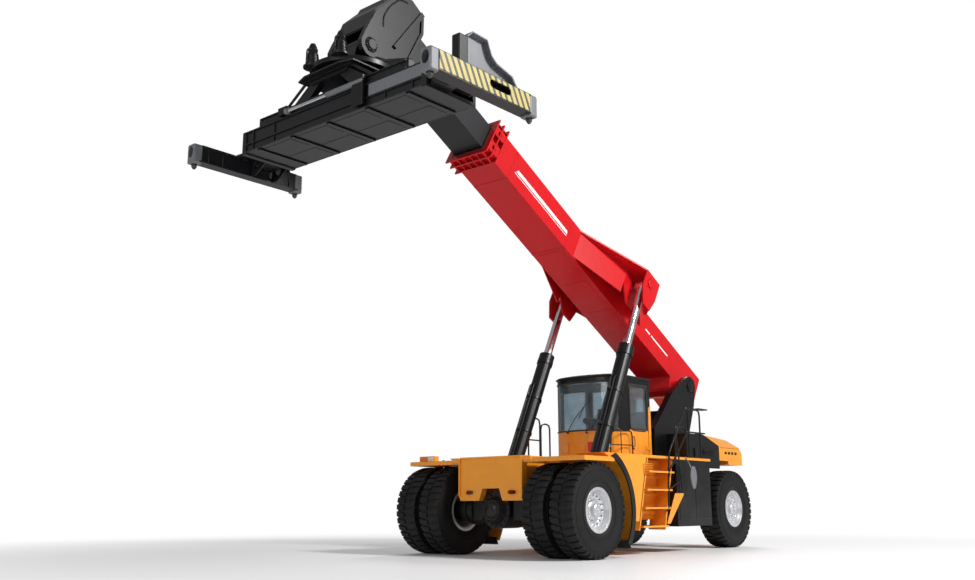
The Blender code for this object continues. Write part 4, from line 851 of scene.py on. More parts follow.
settle(block(at(FRONT_X - 0.002, -0.27, 1.46), at(FRONT_X + 0.004, 0.27, 1.64), 0.002), "front_blank_plate",
       orange,
       "chassis")
for flip in (1, -1):
    rim = turned([at(FRONT_X + 0.001, flip * SLOT_SIDE, SLOT_HEIGHT) + Vector((dx, 0, dz)) for dx, dz in
                  ((0, 0.062), (0.012, 0.058), (0.012, 0.048), (0, 0.044))],
                 at(FRONT_X, flip * SLOT_SIDE, SLOT_HEIGHT), (1, 0, 0), 24)
    rim.scale = (1, SLOT_STRETCH, 1)
    rim.location.y = flip * SLOT_SIDE * (1 - SLOT_STRETCH)
    settle(rim, f"front_slot_rim_{'left' if flip > 0 else 'right'}", orange, "chassis")
print("front plate", round(FRONT_X, 3), "m ahead of the axle")

# %% [markdown]
# ## Axle cover and brakes
# A round cover with a ring of bolts closes the gears in the middle of the drive axle. The brakes
# sit in drums beside it. Both are lathe work, so each is one outline spun round its axis.

# %% Differential cover and brake housings
cover_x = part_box("front_axle")[1].x - AXLE_X
cover = turned([at(cover_x + dx, 0, TYRE_RADIUS + r) for dx, r in
                ((0.052, 0), (0.050, 0.07), (0.030, 0.13), (-0.01, 0.165), (-0.05, 0.17))],
                at(0, 0, TYRE_RADIUS),
               (1, 0, 0), 40)
settle(cover, "differential_cover", black, "chassis")
ring = repeated(bar(at(0.295, 0, TYRE_RADIUS + 0.285), at(0.325, 0, TYRE_RADIUS + 0.285), 0.017, sides=6), 16,
                at(0, 0, TYRE_RADIUS), (1, 0, 0))
settle(ring, "differential_bolts", black, "chassis")
brake = turned([at(0, y, TYRE_RADIUS + r) for y, r in
                ((0.62, 0.18), (0.64, 0.26), (0.74, 0.27), (0.75, 0.23), (0.80, 0.22), (0.81, 0.25),
                 (0.90, 0.25),
                 (0.92, 0.18))], at(0, 0, TYRE_RADIUS), (0, 1, 0), 40)
mirrored_pair(brake, "brake_housing", black)
print("axle cover:", len(cover.data.polygons), "faces, brake:", len(brake.data.polygons), "faces")

# %% [markdown]
# ## Cab
# The cab is where a driver looks from, so it has the most small things: wipers, rubber seals, a
# grab rail, a gutter round the roof, a sun blind, a door handle. The pillars and the roof are the
# frame's; what is added here hangs a few millimetres outside them.

# %% Cab fittings
cab_low, cab_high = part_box("cab_frame")
CAB_SIDE, WAIST, ROOF = cab_high.y, cab_low.z, cab_high.z


def cab_place(x, y, z):
    """Counted from the front of the cab's middle line."""
    return Vector((cab_high.x + x, y, z))


def bow_x(y, out=0.0):
    """How far back the bowed front is at a distance from the middle line."""
    depth = 0.35
    across = min(1.0, abs(y) / CAB_SIDE)
    return (1 - across ** 2) ** 0.5 * (depth + out) - depth


def bow_points(z, out, reach=0.97, count=14):
    ys = [CAB_SIDE * reach * sin(radians(-90 + 180 * i / count)) for i in range(count + 1)]
    return [cab_place(bow_x(y, out), y * (1 + out / CAB_SIDE), z) for y in ys]


for label, z, radius in (("sill", WAIST + 0.012, 0.016), ("head", ROOF - 0.145, 0.016)):
    seal = tube(bow_points(z, 0.004), radius, 2, 0.02)
    settle(seal, f"screen_seal_{label}", plastic, "chassis")
roof_lip = tube([cab_place(-1.44, CAB_SIDE + 0.012, ROOF - 0.035)] + bow_points(ROOF - 0.035, 0.014)[::-1]
                + [cab_place(-1.44, -CAB_SIDE - 0.012, ROOF - 0.035)], 0.022, 2, 0.03)
settle(roof_lip, "roof_gutter", black, "chassis")
for index, (y, z, tip_y, tip_z) in enumerate(((-0.34, 2.40, 0.12, 2.92), (0.16, 2.38, 0.52, 2.86))):
    start = cab_place(bow_x(y, 0.03) + 0.012, y, z)
    elbow = cab_place(bow_x((y + tip_y) / 2, 0.05) + 0.028, (y + tip_y) / 2, (z + tip_z) / 2)
    tip = cab_place(bow_x(tip_y, 0.02) + 0.012, tip_y, tip_z)
    arm = tube([start, elbow, tip], 0.008, 2, 0.05)
    blade = tube([cab_place(bow_x(tip_y - 0.16, 0.0) + 0.012, tip_y - 0.16, tip_z - 0.25),
                  tip, cab_place(bow_x(tip_y + 0.14, 0.0) + 0.012, tip_y + 0.14, tip_z + 0.23)],
                 0.009, 1, 0.02)
    pivot = bar(start - Vector((0.03, 0, 0)), start + Vector((0.012, 0, 0)), 0.018, sides=14, bevel=0.003)
    settle(joined([arm, blade, pivot]), f"wiper_{index + 1}", plastic, "chassis")

grab_y = CAB_SIDE + 0.075
grab = tube([at(-2.22, grab_y, 1.84), at(-2.26, grab_y, 2.34), at(-2.38, grab_y, 2.38),
             at(-3.03, grab_y, 2.41), at(-3.05, grab_y, 1.84)],
            0.014, 2, 0.09)
grab_posts = [tube([at(-2.62, grab_y, 1.84), at(-2.62, grab_y, 2.39)], 0.010),
              tube([at(-2.25, grab_y, 2.10), at(-3.05, grab_y, 2.12)], 0.010)]
settle(joined([grab] + grab_posts), "cab_grab_rail", black, "chassis")
blind = plate([cab_place(bow_x(y, -0.06), y * 0.9, 3.40) for y in (-0.68, -0.5, -0.25, 0, 0.25, 0.5, 0.68)]
              + [cab_place(bow_x(y, -0.06) - 0.012, y * 0.9, 3.40) for y in (0.68, 0.5, 0.25, 0, -0.25, -0.5,
                      -0.68)],
              (0, 0, -0.17), 0.002)
settle(blind, "sun_blind", plastic, "chassis")
rear_strip = plate([at(-3.90, CAB_SIDE + 0.001, 1.90), at(-3.80, CAB_SIDE + 0.001, 1.90),
                    at(-3.80, CAB_SIDE + 0.001, 2.62),
                    at(-3.815, CAB_SIDE + 0.001, 2.95), at(-3.90, CAB_SIDE + 0.001, 2.99)], (0, 0.012, 0),
                    0.004)
settle(rear_strip, "cab_rear_strip", orange, "chassis")
for index, (y, z, wide, tall, finish) in enumerate(((0.30, 2.09, 0.13, 0.10, lens_red),
                                                    (0.06, 2.07, 0.06, 0.05, orange),
                                                    (-0.45, 2.09, 0.13, 0.11, orange),
                                                    (0.64, 2.10, 0.035, 0.035, lens_white))):
    middle = cab_place(bow_x(y), y, z)
    lean = Matrix.Rotation(0.42 * y / 0.45 if abs(y) < 0.6 else 0.95, 4, "Z")
    panel = block((-0.03, -wide, -tall), (0.012, wide, tall), 0.010)
    panel.matrix_world = Matrix.Translation(middle) @ lean
    settle(panel, f"cab_front_panel_{index + 1}", finish, "chassis")
print("cab", round(2 * CAB_SIDE, 3), "m wide, roof at", round(ROOF, 3), "m")

# %% [markdown]
# ## Cab door
# The door is steel below and glass above. A rubber seal runs round its window, and a pull handle
# and a lock sit near its free edge. They ride the door, so they swing with it.

# %% Cab door: seal, handle and lock
door_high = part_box("cab_door")[1]
glass_low, glass_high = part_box("door_glass")
DOOR_OUT = CAB_SIDE + 0.002
corner = 0.13
frame_outer = [Vector((x, DOOR_OUT, z)) for x, z in
               ((glass_low.x - 0.045, glass_high.z + 0.045), (glass_high.x + 0.045, glass_high.z + 0.045),
                (glass_high.x + 0.045, glass_low.z - 0.045), (glass_low.x - 0.045, glass_low.z - 0.045))]
door_seal = tube(frame_outer + [frame_outer[0], frame_outer[1] * 0.5 + frame_outer[0] * 0.5], 0.013, 2,
                 corner)
settle(door_seal, "door_seal", plastic, "cab_door")
handle = tube([Vector((door_high.x - 0.10, DOOR_OUT - 0.02, 2.30)),
               Vector((door_high.x - 0.10, DOOR_OUT + 0.045, 2.30)),
               Vector((door_high.x - 0.10, DOOR_OUT + 0.045, 2.10)),
               Vector((door_high.x - 0.10, DOOR_OUT - 0.02, 2.10))],
              0.010, 2, 0.03)
settle(handle, "door_handle", plastic, "cab_door")
settle(block((door_high.x - 0.15, DOOR_OUT - 0.004, 2.04), (door_high.x - 0.05, DOOR_OUT + 0.006, 2.08),
             0.004),
       "door_lock", plastic, "cab_door")
print("door seal:", len(door_seal.data.polygons), "faces")

# %% [markdown]
# ## Ladder
# The way up is a leaning ladder between two orange side plates, with treads of black grating. The
# slots are cut through each tread at once, as a press would punch them.

# %% Treads
TREAD_HEIGHTS = (0.50, 0.84, 1.18, 1.52)
for flip, label in ((1, "left"), (-1, "right")):
    treads = []
    for z in TREAD_HEIGHTS:
        x = (-2.94 - 1.98) / 2 + 0.27 * (1.80 - z)
        tread = block(at(x - 0.20, flip * 1.62, z + 0.026), at(x + 0.20, flip * 1.885, z + 0.040), 0.004)
        slots = [block(at(x - 0.17 + i * 0.068, flip * 1.60, z),
                       at(x - 0.135 + i * 0.068, flip * 1.86, z + 0.1), 0)
                 for i in range(6)]
        cut(tread, slots)
        edge = block(at(x - 0.205, flip * 1.886 - 0.006, z - 0.016),
                     at(x + 0.205, flip * 1.886 + 0.006, z + 0.044), 0.002)
        treads += [tread, edge]
    made = settle(joined(treads), f"grating_{label}", black, "chassis")

    back = block(at(-2.92, flip * 1.555, 0.64), at(-2.02, flip * 1.575, 1.78), 0.003)
    boards = [block(at(-2.90, flip * 1.57, z - 0.10), at(-2.06, flip * 1.60, z - 0.04), 0.004)
              for z in TREAD_HEIGHTS[1:]]
    apron = plate([at(-2.95, flip * 1.872, 1.14), at(-3.30, flip * 1.872, 1.14),
                   at(-2.72, flip * 1.872, 0.56), at(-2.60, flip * 1.872, 0.56)],
                  (0, flip * 0.012, 0), 0.003)
    made = settle(joined([back, apron] + boards), f"ladder_back_{label}", orange, "chassis")
print("ladder:", len(TREAD_HEIGHTS), "treads a side")

# %% [markdown]
# ## Rails
# The rails are bent from one pipe size, so each is a tube through its corner points. Thinner pipes
# fill the gaps between them, and the posts stand on small foot plates.

# %% Rails on both sides
RAIL = 0.019
left_rails = [
    tube([at(-2.58, 1.90, 0.80), at(-2.58, 1.935, 0.84), at(-2.67, 1.935, 1.90), at(-3.44, 1.90, 2.84),
          at(-3.62, 1.86, 2.84),
          at(-3.62, 1.86, 1.80)], RAIL, 2, 0.10),
    tube([at(-2.66, 1.935, 1.55), at(-3.50, 1.90, 2.37), at(-3.62, 1.86, 2.37)], RAIL * 0.9, 2, 0.08),
    tube([at(-2.98, 1.935, 2.30), at(-3.15, 1.935, 1.20), at(-3.15, 1.89, 1.16)], RAIL * 0.9, 2, 0.04),
    tube([at(-2.66, 1.935, 1.82), at(-3.08, 1.935, 1.66)], RAIL * 0.7),
    tube([at(-2.61, 1.935, 1.20), at(-3.12, 1.935, 1.40)], RAIL * 0.7),
    tube([at(-3.62, 1.86, 2.84), at(-4.10, 1.86, 2.84), at(-4.10, 1.86, 1.80)], RAIL, 2, 0.10),
    tube([at(-3.62, 1.86, 2.37), at(-4.10, 1.86, 2.37)], RAIL * 0.9),
    tube([at(-3.56, 1.58, 1.80), at(-3.56, 1.58, 2.49), at(-4.02, 1.58, 2.49), at(-4.02, 1.58, 1.80)], RAIL,
         2, 0.10)]
feet = [block(at(x - 0.05, y - 0.045, 1.845), at(x + 0.05, y + 0.045, 1.860), 0.003)
        for x, y in ((-3.62, 1.835), (-4.10, 1.835), (-3.56, 1.58), (-4.02, 1.58))]
shelves = [block(at(-4.40, 1.74, 2.86), at(-4.02, 1.90, 2.885), 0.004),
           block(at(-4.30, 1.76, 2.36), at(-4.06, 1.88, 2.385), 0.004)]
rails = settle(joined(left_rails + feet + shelves), "rails_left", black, "chassis")
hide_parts("handrail_left")
right_rails = [
    tube([at(-3.00, -1.82, 1.80), at(-3.00, -1.82, 2.84), at(-3.42, -1.82, 2.84), at(-3.42, -1.82, 1.80)],
         RAIL, 2, 0.12),
    tube([at(-3.17, -1.60, 1.80), at(-3.17, -1.60, 2.70), at(-3.50, -1.60, 2.70), at(-3.50, -1.60, 1.80)],
         RAIL, 2, 0.12),
    tube([at(-3.00, -1.82, 2.35), at(-3.42, -1.82, 2.35)], RAIL * 0.9),
    tube([at(-2.60, -1.86, 0.80), at(-2.67, -1.86, 1.90), at(-3.00, -1.82, 2.30)], RAIL, 2, 0.10)]
rails = settle(joined(right_rails), "rails_right", black, "chassis")
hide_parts("handrail_right")
print("rails:", len(left_rails), "tubes on the left,", len(right_rails), "on the right")

# %% [markdown]
# ## Mirrors
# A mirror hangs from its own bar: a shell shaped like a drop, with the glass on its inner side.
# Shell and glass are plates cut to the same outline at two sizes.

# %% Mirrors
def drop_outline(place, wide, tall, count=20):
    """A rounded head with a lower end that narrows to a point."""
    points = []
    for i in range(count):
        a = 2 * pi * i / count
        narrow = 1.0 if sin(a) > -0.2 else 1.0 - 0.35 * (-0.2 - sin(a))
        points.append(place + Vector((wide * cos(a) * narrow, 0,
                                      tall * sin(a) * (1.0 if sin(a) > 0 else 1.12))))
    return points


shell = plate(drop_outline(at(-3.35, 2.065, 1.46), 0.118, 0.215), (0, 0.030, 0), 0.010)
bracket = tube([at(-3.35, 2.062, 1.50), at(-3.35, 2.00, 1.72), at(-3.42, 1.87, 1.86)], 0.012, 2, 0.06)
left_mirror, right_mirror = mirrored_pair(joined([shell, bracket]), "mirror_shell", grey)
for side in ("left", "right"):
    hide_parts(f"mirror_{side}")
face = plate(drop_outline(at(-3.35, 2.0638, 1.46), 0.100, 0.190), (0, -0.0025, 0), 0)
mirrored_pair(face, "mirror_glass", chrome)
print("mirror shell:", len(left_mirror.data.polygons), "faces")

# %% [markdown]
# ## Tanks and louvres
# Each tank has two pressed panels on its outer side with a screw in every corner. The louvres are
# thin folded strips, all alike, so one loop makes them.

# %% Tank panels and louvres
for name, flip in (("fuel_tank", 1), ("hydraulic_tank", -1)):
    low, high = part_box(name)
    outer = high.y if flip > 0 else low.y
    panels, trims = [], []
    for start, end in ((0.06, 0.46), (0.52, 0.94)):
        a, b = low.x + (high.x - low.x) * start, low.x + (high.x - low.x) * end
        panels.append(block((a, outer - 0.012, low.z + 0.14), (b, outer + 0.006, high.z - 0.10), 0.005))
        trims += [bar((x, outer, z), (x, outer + flip * 0.012, z), 0.011, sides=8)
                  for x in (a + 0.03, b - 0.03) for z in (low.z + 0.17, high.z - 0.13)]
    settle(joined(panels + trims), f"{name}_panels", black, "chassis")
louvre_parts = []
for i in range(7):
    z = 1.50 + i * 0.032
    louvre_parts.append(plate([at(-2.14, 1.880, z), at(-2.14, 1.898, z - 0.014), at(-2.14, 1.880, z - 0.014)],
                              (0.35, 0, 0), 0))
mirrored_pair(joined(louvre_parts), "vent_louvre", orange)
print(len(louvre_parts), "louvres a side")

# %% [markdown]
# ## Engine doors, hood and counterweight
# Air reaches the radiator through fins in the doors and vents in the hood, and leaves by a grille
# at the rear. The tail lamps are turned lenses on the cast weight, and the exhaust is a plain pipe
# with a lip.

# %% Engine doors, hood and counterweight
for side, flip in (("left", 1), ("right", -1)):
    low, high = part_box(f"engine_door_{side}")
    outer = high.y if flip > 0 else low.y
    below, above = (0.01, 0.004) if flip > 0 else (0.004, 0.01)
    fins = [block((low.x + 0.10, outer - below, low.z + 0.07 + i * 0.030),
                  (low.x + 0.62, outer + above, low.z + 0.085 + i * 0.030), 0.002) for i in range(4)]
    pull = block((low.x + 0.06, outer - 0.008, high.z - 0.075), (low.x + 0.18, outer + 0.008, high.z - 0.030),
                 0.005)
    settle(joined(fins + [pull]), f"engine_door_fins_{side}", black, f"engine_door_{side}")
hood_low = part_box("engine_hood")[0]
HOOD_SIDE = 1.35
grille = [block((hood_low.x - 0.012, -0.72, 1.96 + i * 0.050), (hood_low.x + 0.03, 0.72, 1.983 + i * 0.050),
                0.004)
          for i in range(7)]
grille.append(block((hood_low.x - 0.004, -0.78, 1.93), (hood_low.x + 0.02, -0.745, 2.33), 0.003))
grille.append(block((hood_low.x - 0.004, 0.745, 1.93), (hood_low.x + 0.02, 0.78, 2.33), 0.003))
settle(joined(grille), "hood_grille", black, "chassis")
vents = [block(at(x, HOOD_SIDE - 0.012, 2.03), at(x + 0.10, HOOD_SIDE + 0.004, 2.09), 0.004)
         for x in (-6.72, -6.56, -6.40, -6.24)]
vents.append(block(at(-6.86, 1.338, 2.168), at(-5.92, 1.353, 2.176), 0.002))
mirrored_pair(joined(vents), "hood_vents", black)
weight_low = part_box("counterweight")[0]
for flip, label in ((1, "left"), (-1, "right")):
    for index, finish in enumerate((lens_red, lens_amber, lens_white)):
        y = flip * (0.95 - index * 0.13)
        lamp = turned([Vector((weight_low.x - dx, y, 1.30 + r)) for dx,
                       r in ((0.018, 0), (0.016, 0.035), (0.004, 0.05), (-0.01, 0.05))],
                      (weight_low.x, y, 1.30), (1, 0, 0), 20)
        settle(lamp, f"tail_lamp_{label}_{index + 1}", finish, "chassis")
exhaust = turned([at(-5.15, -0.55, 2.40) + Vector((r, 0, z)) for r, z in
                  ((0.075, 0), (0.075, 0.50), (0.085, 0.51), (0.085, 0.60), (0.062, 0.60), (0.062, 0.50),
                   (0.055, 0.05))],
                 at(-5.15, -0.55, 2.40), (0, 0, 1), 24)
settle(exhaust, "exhaust_stack", iron, "chassis")
print("hood grille:", len(grille), "bars")

# %% [markdown]
# ## Boom tower
# The boom turns on a pin through two tall plates. A turned cap with eight bolts in a ring closes
# each end of the pin, which is how pins of this size are usually kept in place.

# %% Boom tower: pivot caps and their bolts
tower_low, tower_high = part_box("boom_tower")
for flip, label in ((1, "left"), (-1, "right")):
    outer = (tower_high.y if flip > 0 else -tower_low.y)
    cap = turned([PIVOT + Vector((0, flip * (outer + dy), r)) for dy, r in
                  ((0.030, 0), (0.030, 0.10), (0.022, 0.115), (0.0, 0.12), (-0.01, 0.12))], PIVOT, (0, 1, 0),
                  32)
    bolts = repeated(bar(PIVOT + Vector((0, flip * outer, 0.16)),
                         PIVOT + Vector((0, flip * (outer + 0.014), 0.16)), 0.014, sides=6),
                     8, PIVOT, (0, 1, 0))
    settle(joined([cap, bolts]), f"pivot_cap_{label}", black, "chassis")
print("tower", round(tower_high.y - tower_low.y, 3), "m wide")

# %% [markdown]
# ## Lift cylinders
# Each lift cylinder has a gland with a bolt ring at its open end, three clamps, and two thin steel
# pipes along its barrel. They tilt with the barrel, so they ride it.

# %% Cylinder fittings
CLAMPS = (0.55, 1.35, 2.15)
for flip, label in ((1, "left"), (-1, "right")):
    base = Vector(joints[f"lift_barrel_{label}_tilt"]["pos_m"])
    up = Vector(joints[f"lift_rod_{label}_stroke"]["axis"]).normalized()
    if up.z < 0:
        up = -up
    front = Vector((up.z, 0, -up.x))

    def on_barrel(length, out, sideways=0.0):
        return base + up * length + front * out + Vector((0, sideways, 0))

    gland = turned([on_barrel(l, r) for l, r in ((3.02, 0.154), (3.02, 0.172), (3.12, 0.172), (3.125, 0.1675),
                                                 (3.258, 0.1675), (3.262, 0.150),
                                               (3.262, 0.094), (3.18, 0.094))], base, up, 32)
    ring = repeated(bar(on_barrel(3.10, 0.163), on_barrel(3.128, 0.163), 0.010, sides=6), 16, base, up)
    straps = [turned([on_barrel(l - 0.02, 0.154), on_barrel(l - 0.02, 0.170), on_barrel(l + 0.02, 0.170),
                      on_barrel(l + 0.02, 0.154)],
                     base, up, 32) for l in CLAMPS]
    pipes = [tube([on_barrel(0.30, 0.14, s * 0.05), on_barrel(0.34, 0.192, s * 0.05),
                   on_barrel(2.40, 0.192, s * 0.05),
                   on_barrel(2.46, 0.15, s * 0.05)], 0.013, 2, 0.05) for s in (1, -1)]
    blocks = []
    for l in CLAMPS:
        clamp = bar(on_barrel(l - 0.03, 0.186), on_barrel(l + 0.03, 0.186), 0.030, sides=4)
        blocks.append(clamp)
    made = settle(joined([gland, ring] + straps + pipes + blocks), f"cylinder_fittings_{label}", black,
                  f"lift_barrel_{label}")
print("cylinder fittings:", len(made.data.polygons), "faces a side")

# %% [markdown]
# ## Boom
# The mouth of the outer boom is a strong collar: flanges with ribs welded between them, and two
# plates with round holes on the left where the inner boom's pads are reached. A plain stripe stands
# where a maker would put a name.

# %% Collar, ears and stripe
def boom_outline(points, y):
    return [on_boom(u, y, v) for u, v in points]


def boom_strip(start, low, end, high, y):
    """The four corners of an upright rectangle along the boom."""
    return boom_outline(((start, low), (end, low), (end, high), (start, high)), y)


MOUTH = 7.80
COLLAR_START, COLLAR_END = MOUTH - 0.33, MOUTH - 0.01
BOOM_SIDE = 0.43
ribs = []
for v in (0.19, 0.40, 0.62, 0.84):
    for flip in (1, -1):
        near, far = flip * BOOM_SIDE, flip * (BOOM_SIDE + 0.09)
        ribs.append(plate([on_boom(COLLAR_START, near, v), on_boom(COLLAR_END, near, v),
                           on_boom(COLLAR_END, far, v), on_boom(COLLAR_START, far, v)], upward * 0.016, 0))
for y in (-0.40, -0.24, -0.08, 0.08, 0.24, 0.40):
    ribs.append(plate(boom_strip(COLLAR_START, 0.17, COLLAR_END, 0.10, y - 0.008), (0, 0.016, 0), 0))
for v in (0.30, 0.68):
    eye = plate(boom_strip(MOUTH - 0.31, v - 0.09, MOUTH - 0.02, v + 0.11, BOOM_SIDE + 0.07), (0, 0.018, 0),
                0)
    cut(eye, [bar(on_boom(MOUTH - 0.155, 0.3, v + 0.01), on_boom(MOUTH - 0.155, 0.7, v + 0.01), 0.055,
                  sides=24)])
    ribs.append(eye)
made = settle(joined(ribs), "collar_ribs", red, "outer_boom")
stripe = plate(boom_outline(((4.95, 0.47), (6.85, 0.47), (6.80, 0.55), (4.99, 0.55)), BOOM_SIDE + 0.0004),
               (0, 0.0012, 0), 0)
thin = plate(boom_outline(((4.95, 0.42), (6.88, 0.42), (6.87, 0.44), (4.96, 0.44)), BOOM_SIDE + 0.0004),
             (0, 0.0012, 0), 0)
mirrored_pair(joined([stripe, thin]), "boom_stripe", white, "outer_boom")
seams = []
for u in (1.35, 4.85, 6.95):
    seams.append(plate(boom_strip(u, 0.158, u + 0.05, 0.172, -BOOM_SIDE), (0, 2 * BOOM_SIDE, 0), 0))
    for flip in (1, -1):
        seams.append(plate(boom_strip(u, 0.17, u + 0.05, 0.88, flip * (BOOM_SIDE - 0.002)),
                           (0, flip * 0.008, 0), 0))
settle(joined(seams), "boom_seams", red, "outer_boom")
panels = []
for u in (2.2, 3.2, 4.2):
    panels.append(plate(boom_strip(u, 0.166, u + 0.62, 0.158, -0.30), (0, 0.60, 0), 0.003))
settle(joined(panels), "boom_hatches", red, "outer_boom")
lower_stripe = plate(boom_outline(((0.55, 0.50), (1.62, 0.50), (1.60, 0.54), (0.57, 0.54)),
                                  BOOM_SIDE + 0.0004), (0, 0.0012, 0), 0)
mirrored_pair(lower_stripe, "boom_lower_stripe", white, "outer_boom")
EYE_ALONG, EYE_HEIGHT, EAR_SIDE = 2.896, 0.634, 1.242
eye_caps = []
for flip in (1, -1):
    middle = on_boom(EYE_ALONG, flip * EAR_SIDE, EYE_HEIGHT)
    out = Vector((0, flip, 0))
    eye_caps.append(turned([middle + out * d + along * r
                            for d, r in ((0.028, 0), (0.028, 0.075), (0.018, 0.088), (-0.004, 0.088))],
                           middle, (0, 1, 0), 28))
    eye_caps.append(repeated(bar(middle + along * 0.115, middle + along * 0.115 + out * 0.014, 0.013,
                                 sides=6),
                             6, middle, (0, 1, 0)))
settle(joined(eye_caps), "ear_pin_caps", red, "outer_boom")
print("boom:", len(ribs), "collar ribs and", len(seams), "seams")

# %% [markdown]
# ## Head of the inner boom
# Two thick plates hold the pin of the head. A curved nose closes them in front, ridges and
# stiffeners are welded to their sides, and four pipes come over the top.

# %% Head of the inner boom
HEAD_SIDE = 0.44
nose_outer = [(11.075, -0.05), (11.12, 0.30), (11.02, 0.66), (10.92, 1.00), (10.76, 1.12), (10.60, 1.165),
              (10.40, 1.155)]
nose_inner = [(u - 0.035, v - 0.012) for u, v in nose_outer]
nose = plate(boom_outline(nose_outer + nose_inner[::-1], -HEAD_SIDE + 0.02), (0, 2 * HEAD_SIDE - 0.04, 0), 0)
ridges = [tube(boom_outline(((10.66, 1.03), (10.83, 0.94), (10.93, 0.60), (10.93, 0.32), (10.84, 0.16)),
                            flip * (HEAD_SIDE + 0.004)),
               0.016, 2, 0.10) for flip in (1, -1)]
stiffeners = []
for flip in (1, -1):
    stiffeners.append(plate(boom_outline(((10.07, 0.16), (10.10, 0.80), (10.28, 1.14), (10.33, 1.12),
                                          (10.16, 0.78), (10.14, 0.12)),
                                         flip * (HEAD_SIDE - 0.002)), (0, flip * 0.035, 0), 0))
    stiffeners.append(plate(boom_outline(((10.26, 1.12), (10.35, 1.14), (10.50, 0.02), (10.43, 0.02)),
                                         flip * (HEAD_SIDE - 0.002)),
                            (0, flip * 0.045, 0), 0))
    middle = on_boom(10.853, flip * HEAD_SIDE, -0.357)
    out = Vector((0, flip, 0))
    stiffeners.append(turned([middle + out * d + along * r for d,
                              r in ((0.045, 0), (0.045, 0.085), (0.03, 0.10), (0.0, 0.14), (-0.004, 0.14))],
                             middle, (0, 1, 0), 28))
    stiffeners.append(repeated(bar(middle + along * 0.12, middle + along * 0.12 + out * 0.03, 0.012, sides=6),
                               8, middle, (0, 1, 0)))
made = settle(joined([nose] + ridges + stiffeners), "head_fittings", charcoal, "inner_boom")
pipes = [tube([on_boom(9.92, y, 0.78), on_boom(9.96, y, 0.84), on_boom(10.12, y, 0.84),
               on_boom(10.26, y, 1.10), on_boom(10.50, y, 1.13)], 0.018, 2, 0.08)
         for y in (-0.20, -0.14, 0.14, 0.20)]
settle(joined(pipes), "head_pipes", plastic, "inner_boom")
print("head fittings:", len(made.data.polygons), "faces")

# %% [markdown]
# ## Head and spreader
# Under the head hangs the slewing ring with its two motors: ribbed cones with hexagonal caps. Below
# it two rails carry the main box, and a chromed cylinder shifts the box sideways. The arms slide out
# of the box and end in beams with a corner housing and a twistlock at each end.

# %% Slewing motors and ring bolts
def head(x, y, z):
    """Counted from the pin that the head hangs on."""
    return HEAD_PIN + Vector((x, y, z))


motors = []
for y in (-0.36, 0.36):
    foot = head(0.60, y, -0.40)
    profile = [(0.155, 0.0), (0.155, 0.03), (0.118, 0.035)]
    for i in range(6):
        profile += [(0.122 - i * 0.004, 0.05 + i * 0.032), (0.122 - i * 0.004, 0.066 + i * 0.032),
                    (0.108 - i * 0.004, 0.068 + i * 0.032), (0.108 - i * 0.004, 0.08 + i * 0.032)]
    profile += [(0.098, 0.25), (0.070, 0.30), (0.070, 0.38), (0.045, 0.44), (0.030, 0.45), (0, 0.45)]
    motors.append(turned([foot + Vector((0, 0, -0.005))] + [foot + Vector((r, 0, z)) for r, z in profile],
                         foot, (0, 0, 1), 28))
    motors.append(bar(foot + Vector((0, 0, 0.30)), foot + Vector((0, 0, 0.36)), 0.088, sides=6, bevel=0.006))
    motors.append(repeated(bar(foot + Vector((0.135, 0, 0.02)), foot + Vector((0.135, 0, 0.045)), 0.013,
                               sides=6), 10, foot, (0, 0, 1)))
    motors.append(tube([foot + Vector((0.05, 0.02, 0.33)), foot + Vector((0.14, 0.02, 0.30)),
                        foot + Vector((0.13, 0.0, 0.05))], 0.014, 2, 0.05))
ring_bolts = repeated(bar(head(0.67, 0, -0.41), head(0.67, 0, -0.375), 0.018, sides=6, bevel=0.003), 36,
                      head(0, 0, 0), (0, 0, 1))
ring_lip = turned([head(r, 0, z) for r, z in ((0.70, -0.395), (0.735, -0.395), (0.735, -0.475),
                                              (0.70, -0.475))], head(0, 0, 0), (0, 0, 1), 64)
settle(joined(motors + [ring_bolts, ring_lip]), "slew_motors", black, "rotator")
under_bolts = repeated(bar(head(0.575, 0, -0.600), head(0.575, 0, -0.555), 0.016, sides=6), 32, head(0, 0, 0),
                       (0, 0, 1))
shelf = plate([head(x, y, -0.545) for x, y in ((-0.62, -0.70), (0.62, -0.70), (0.70, -0.45), (0.70, 0.45),
                                               (0.62, 0.70), (-0.62, 0.70))],
              (0, 0, -0.03), 0.005)
settle(joined([under_bolts, shelf]), "slew_shelf", charcoal, "slewing_frame")
print("head pin at", round(HEAD_PIN.z, 3), "m,", len(motors), "motor parts")

# %% [markdown]
# ## Side shift
# Two rails under the turning ring carry the main box, and a chromed cylinder pushes it sideways.
# Each rail is two strips with a long slot between them, held up by slanted plates.

# %% Side shift rails and cylinder
rail_parts = []
for flip in (1, -1):
    face = flip * 0.52
    for sign in (1, -1):
        near, far = sign * 0.80, sign * 1.84
        for z in (-1.032, -0.908):
            rail_parts.append(block(head(min(face - 0.02, face + 0.03), min(near, far), z - 0.012),
                                    head(max(face - 0.02, face + 0.03), max(near, far), z + 0.008), 0.003))
        slot_frame = tube([head(face, near + sign * 0.12, -0.935), head(face, far - sign * 0.12, -0.935),
                           head(face, far - sign * 0.12, -1.01), head(face, near + sign * 0.12, -1.01),
                           head(face, near + sign * 0.12, -0.935), head(face, near + sign * 0.30, -0.935)],
                           0.010, 1, 0.03)
        rail_parts.append(slot_frame)
        rail_parts.append(plate([head(face, sign * 0.55, -0.60), head(face, sign * 1.02, -0.90),
                                 head(face, sign * 1.10, -0.90),
                                 head(face, sign * 0.62, -0.585)], (flip * 0.03, 0, 0), 0.003))
    rail_parts.append(plate([head(face, -0.50, -0.60), head(face, 0.50, -0.60), head(face, 0.44, -0.66),
                             head(face, -0.44, -0.66)],
                            (flip * 0.035, 0, 0), 0.004))
settle(joined(rail_parts), "side_shift_rails", charcoal, "slewing_frame")
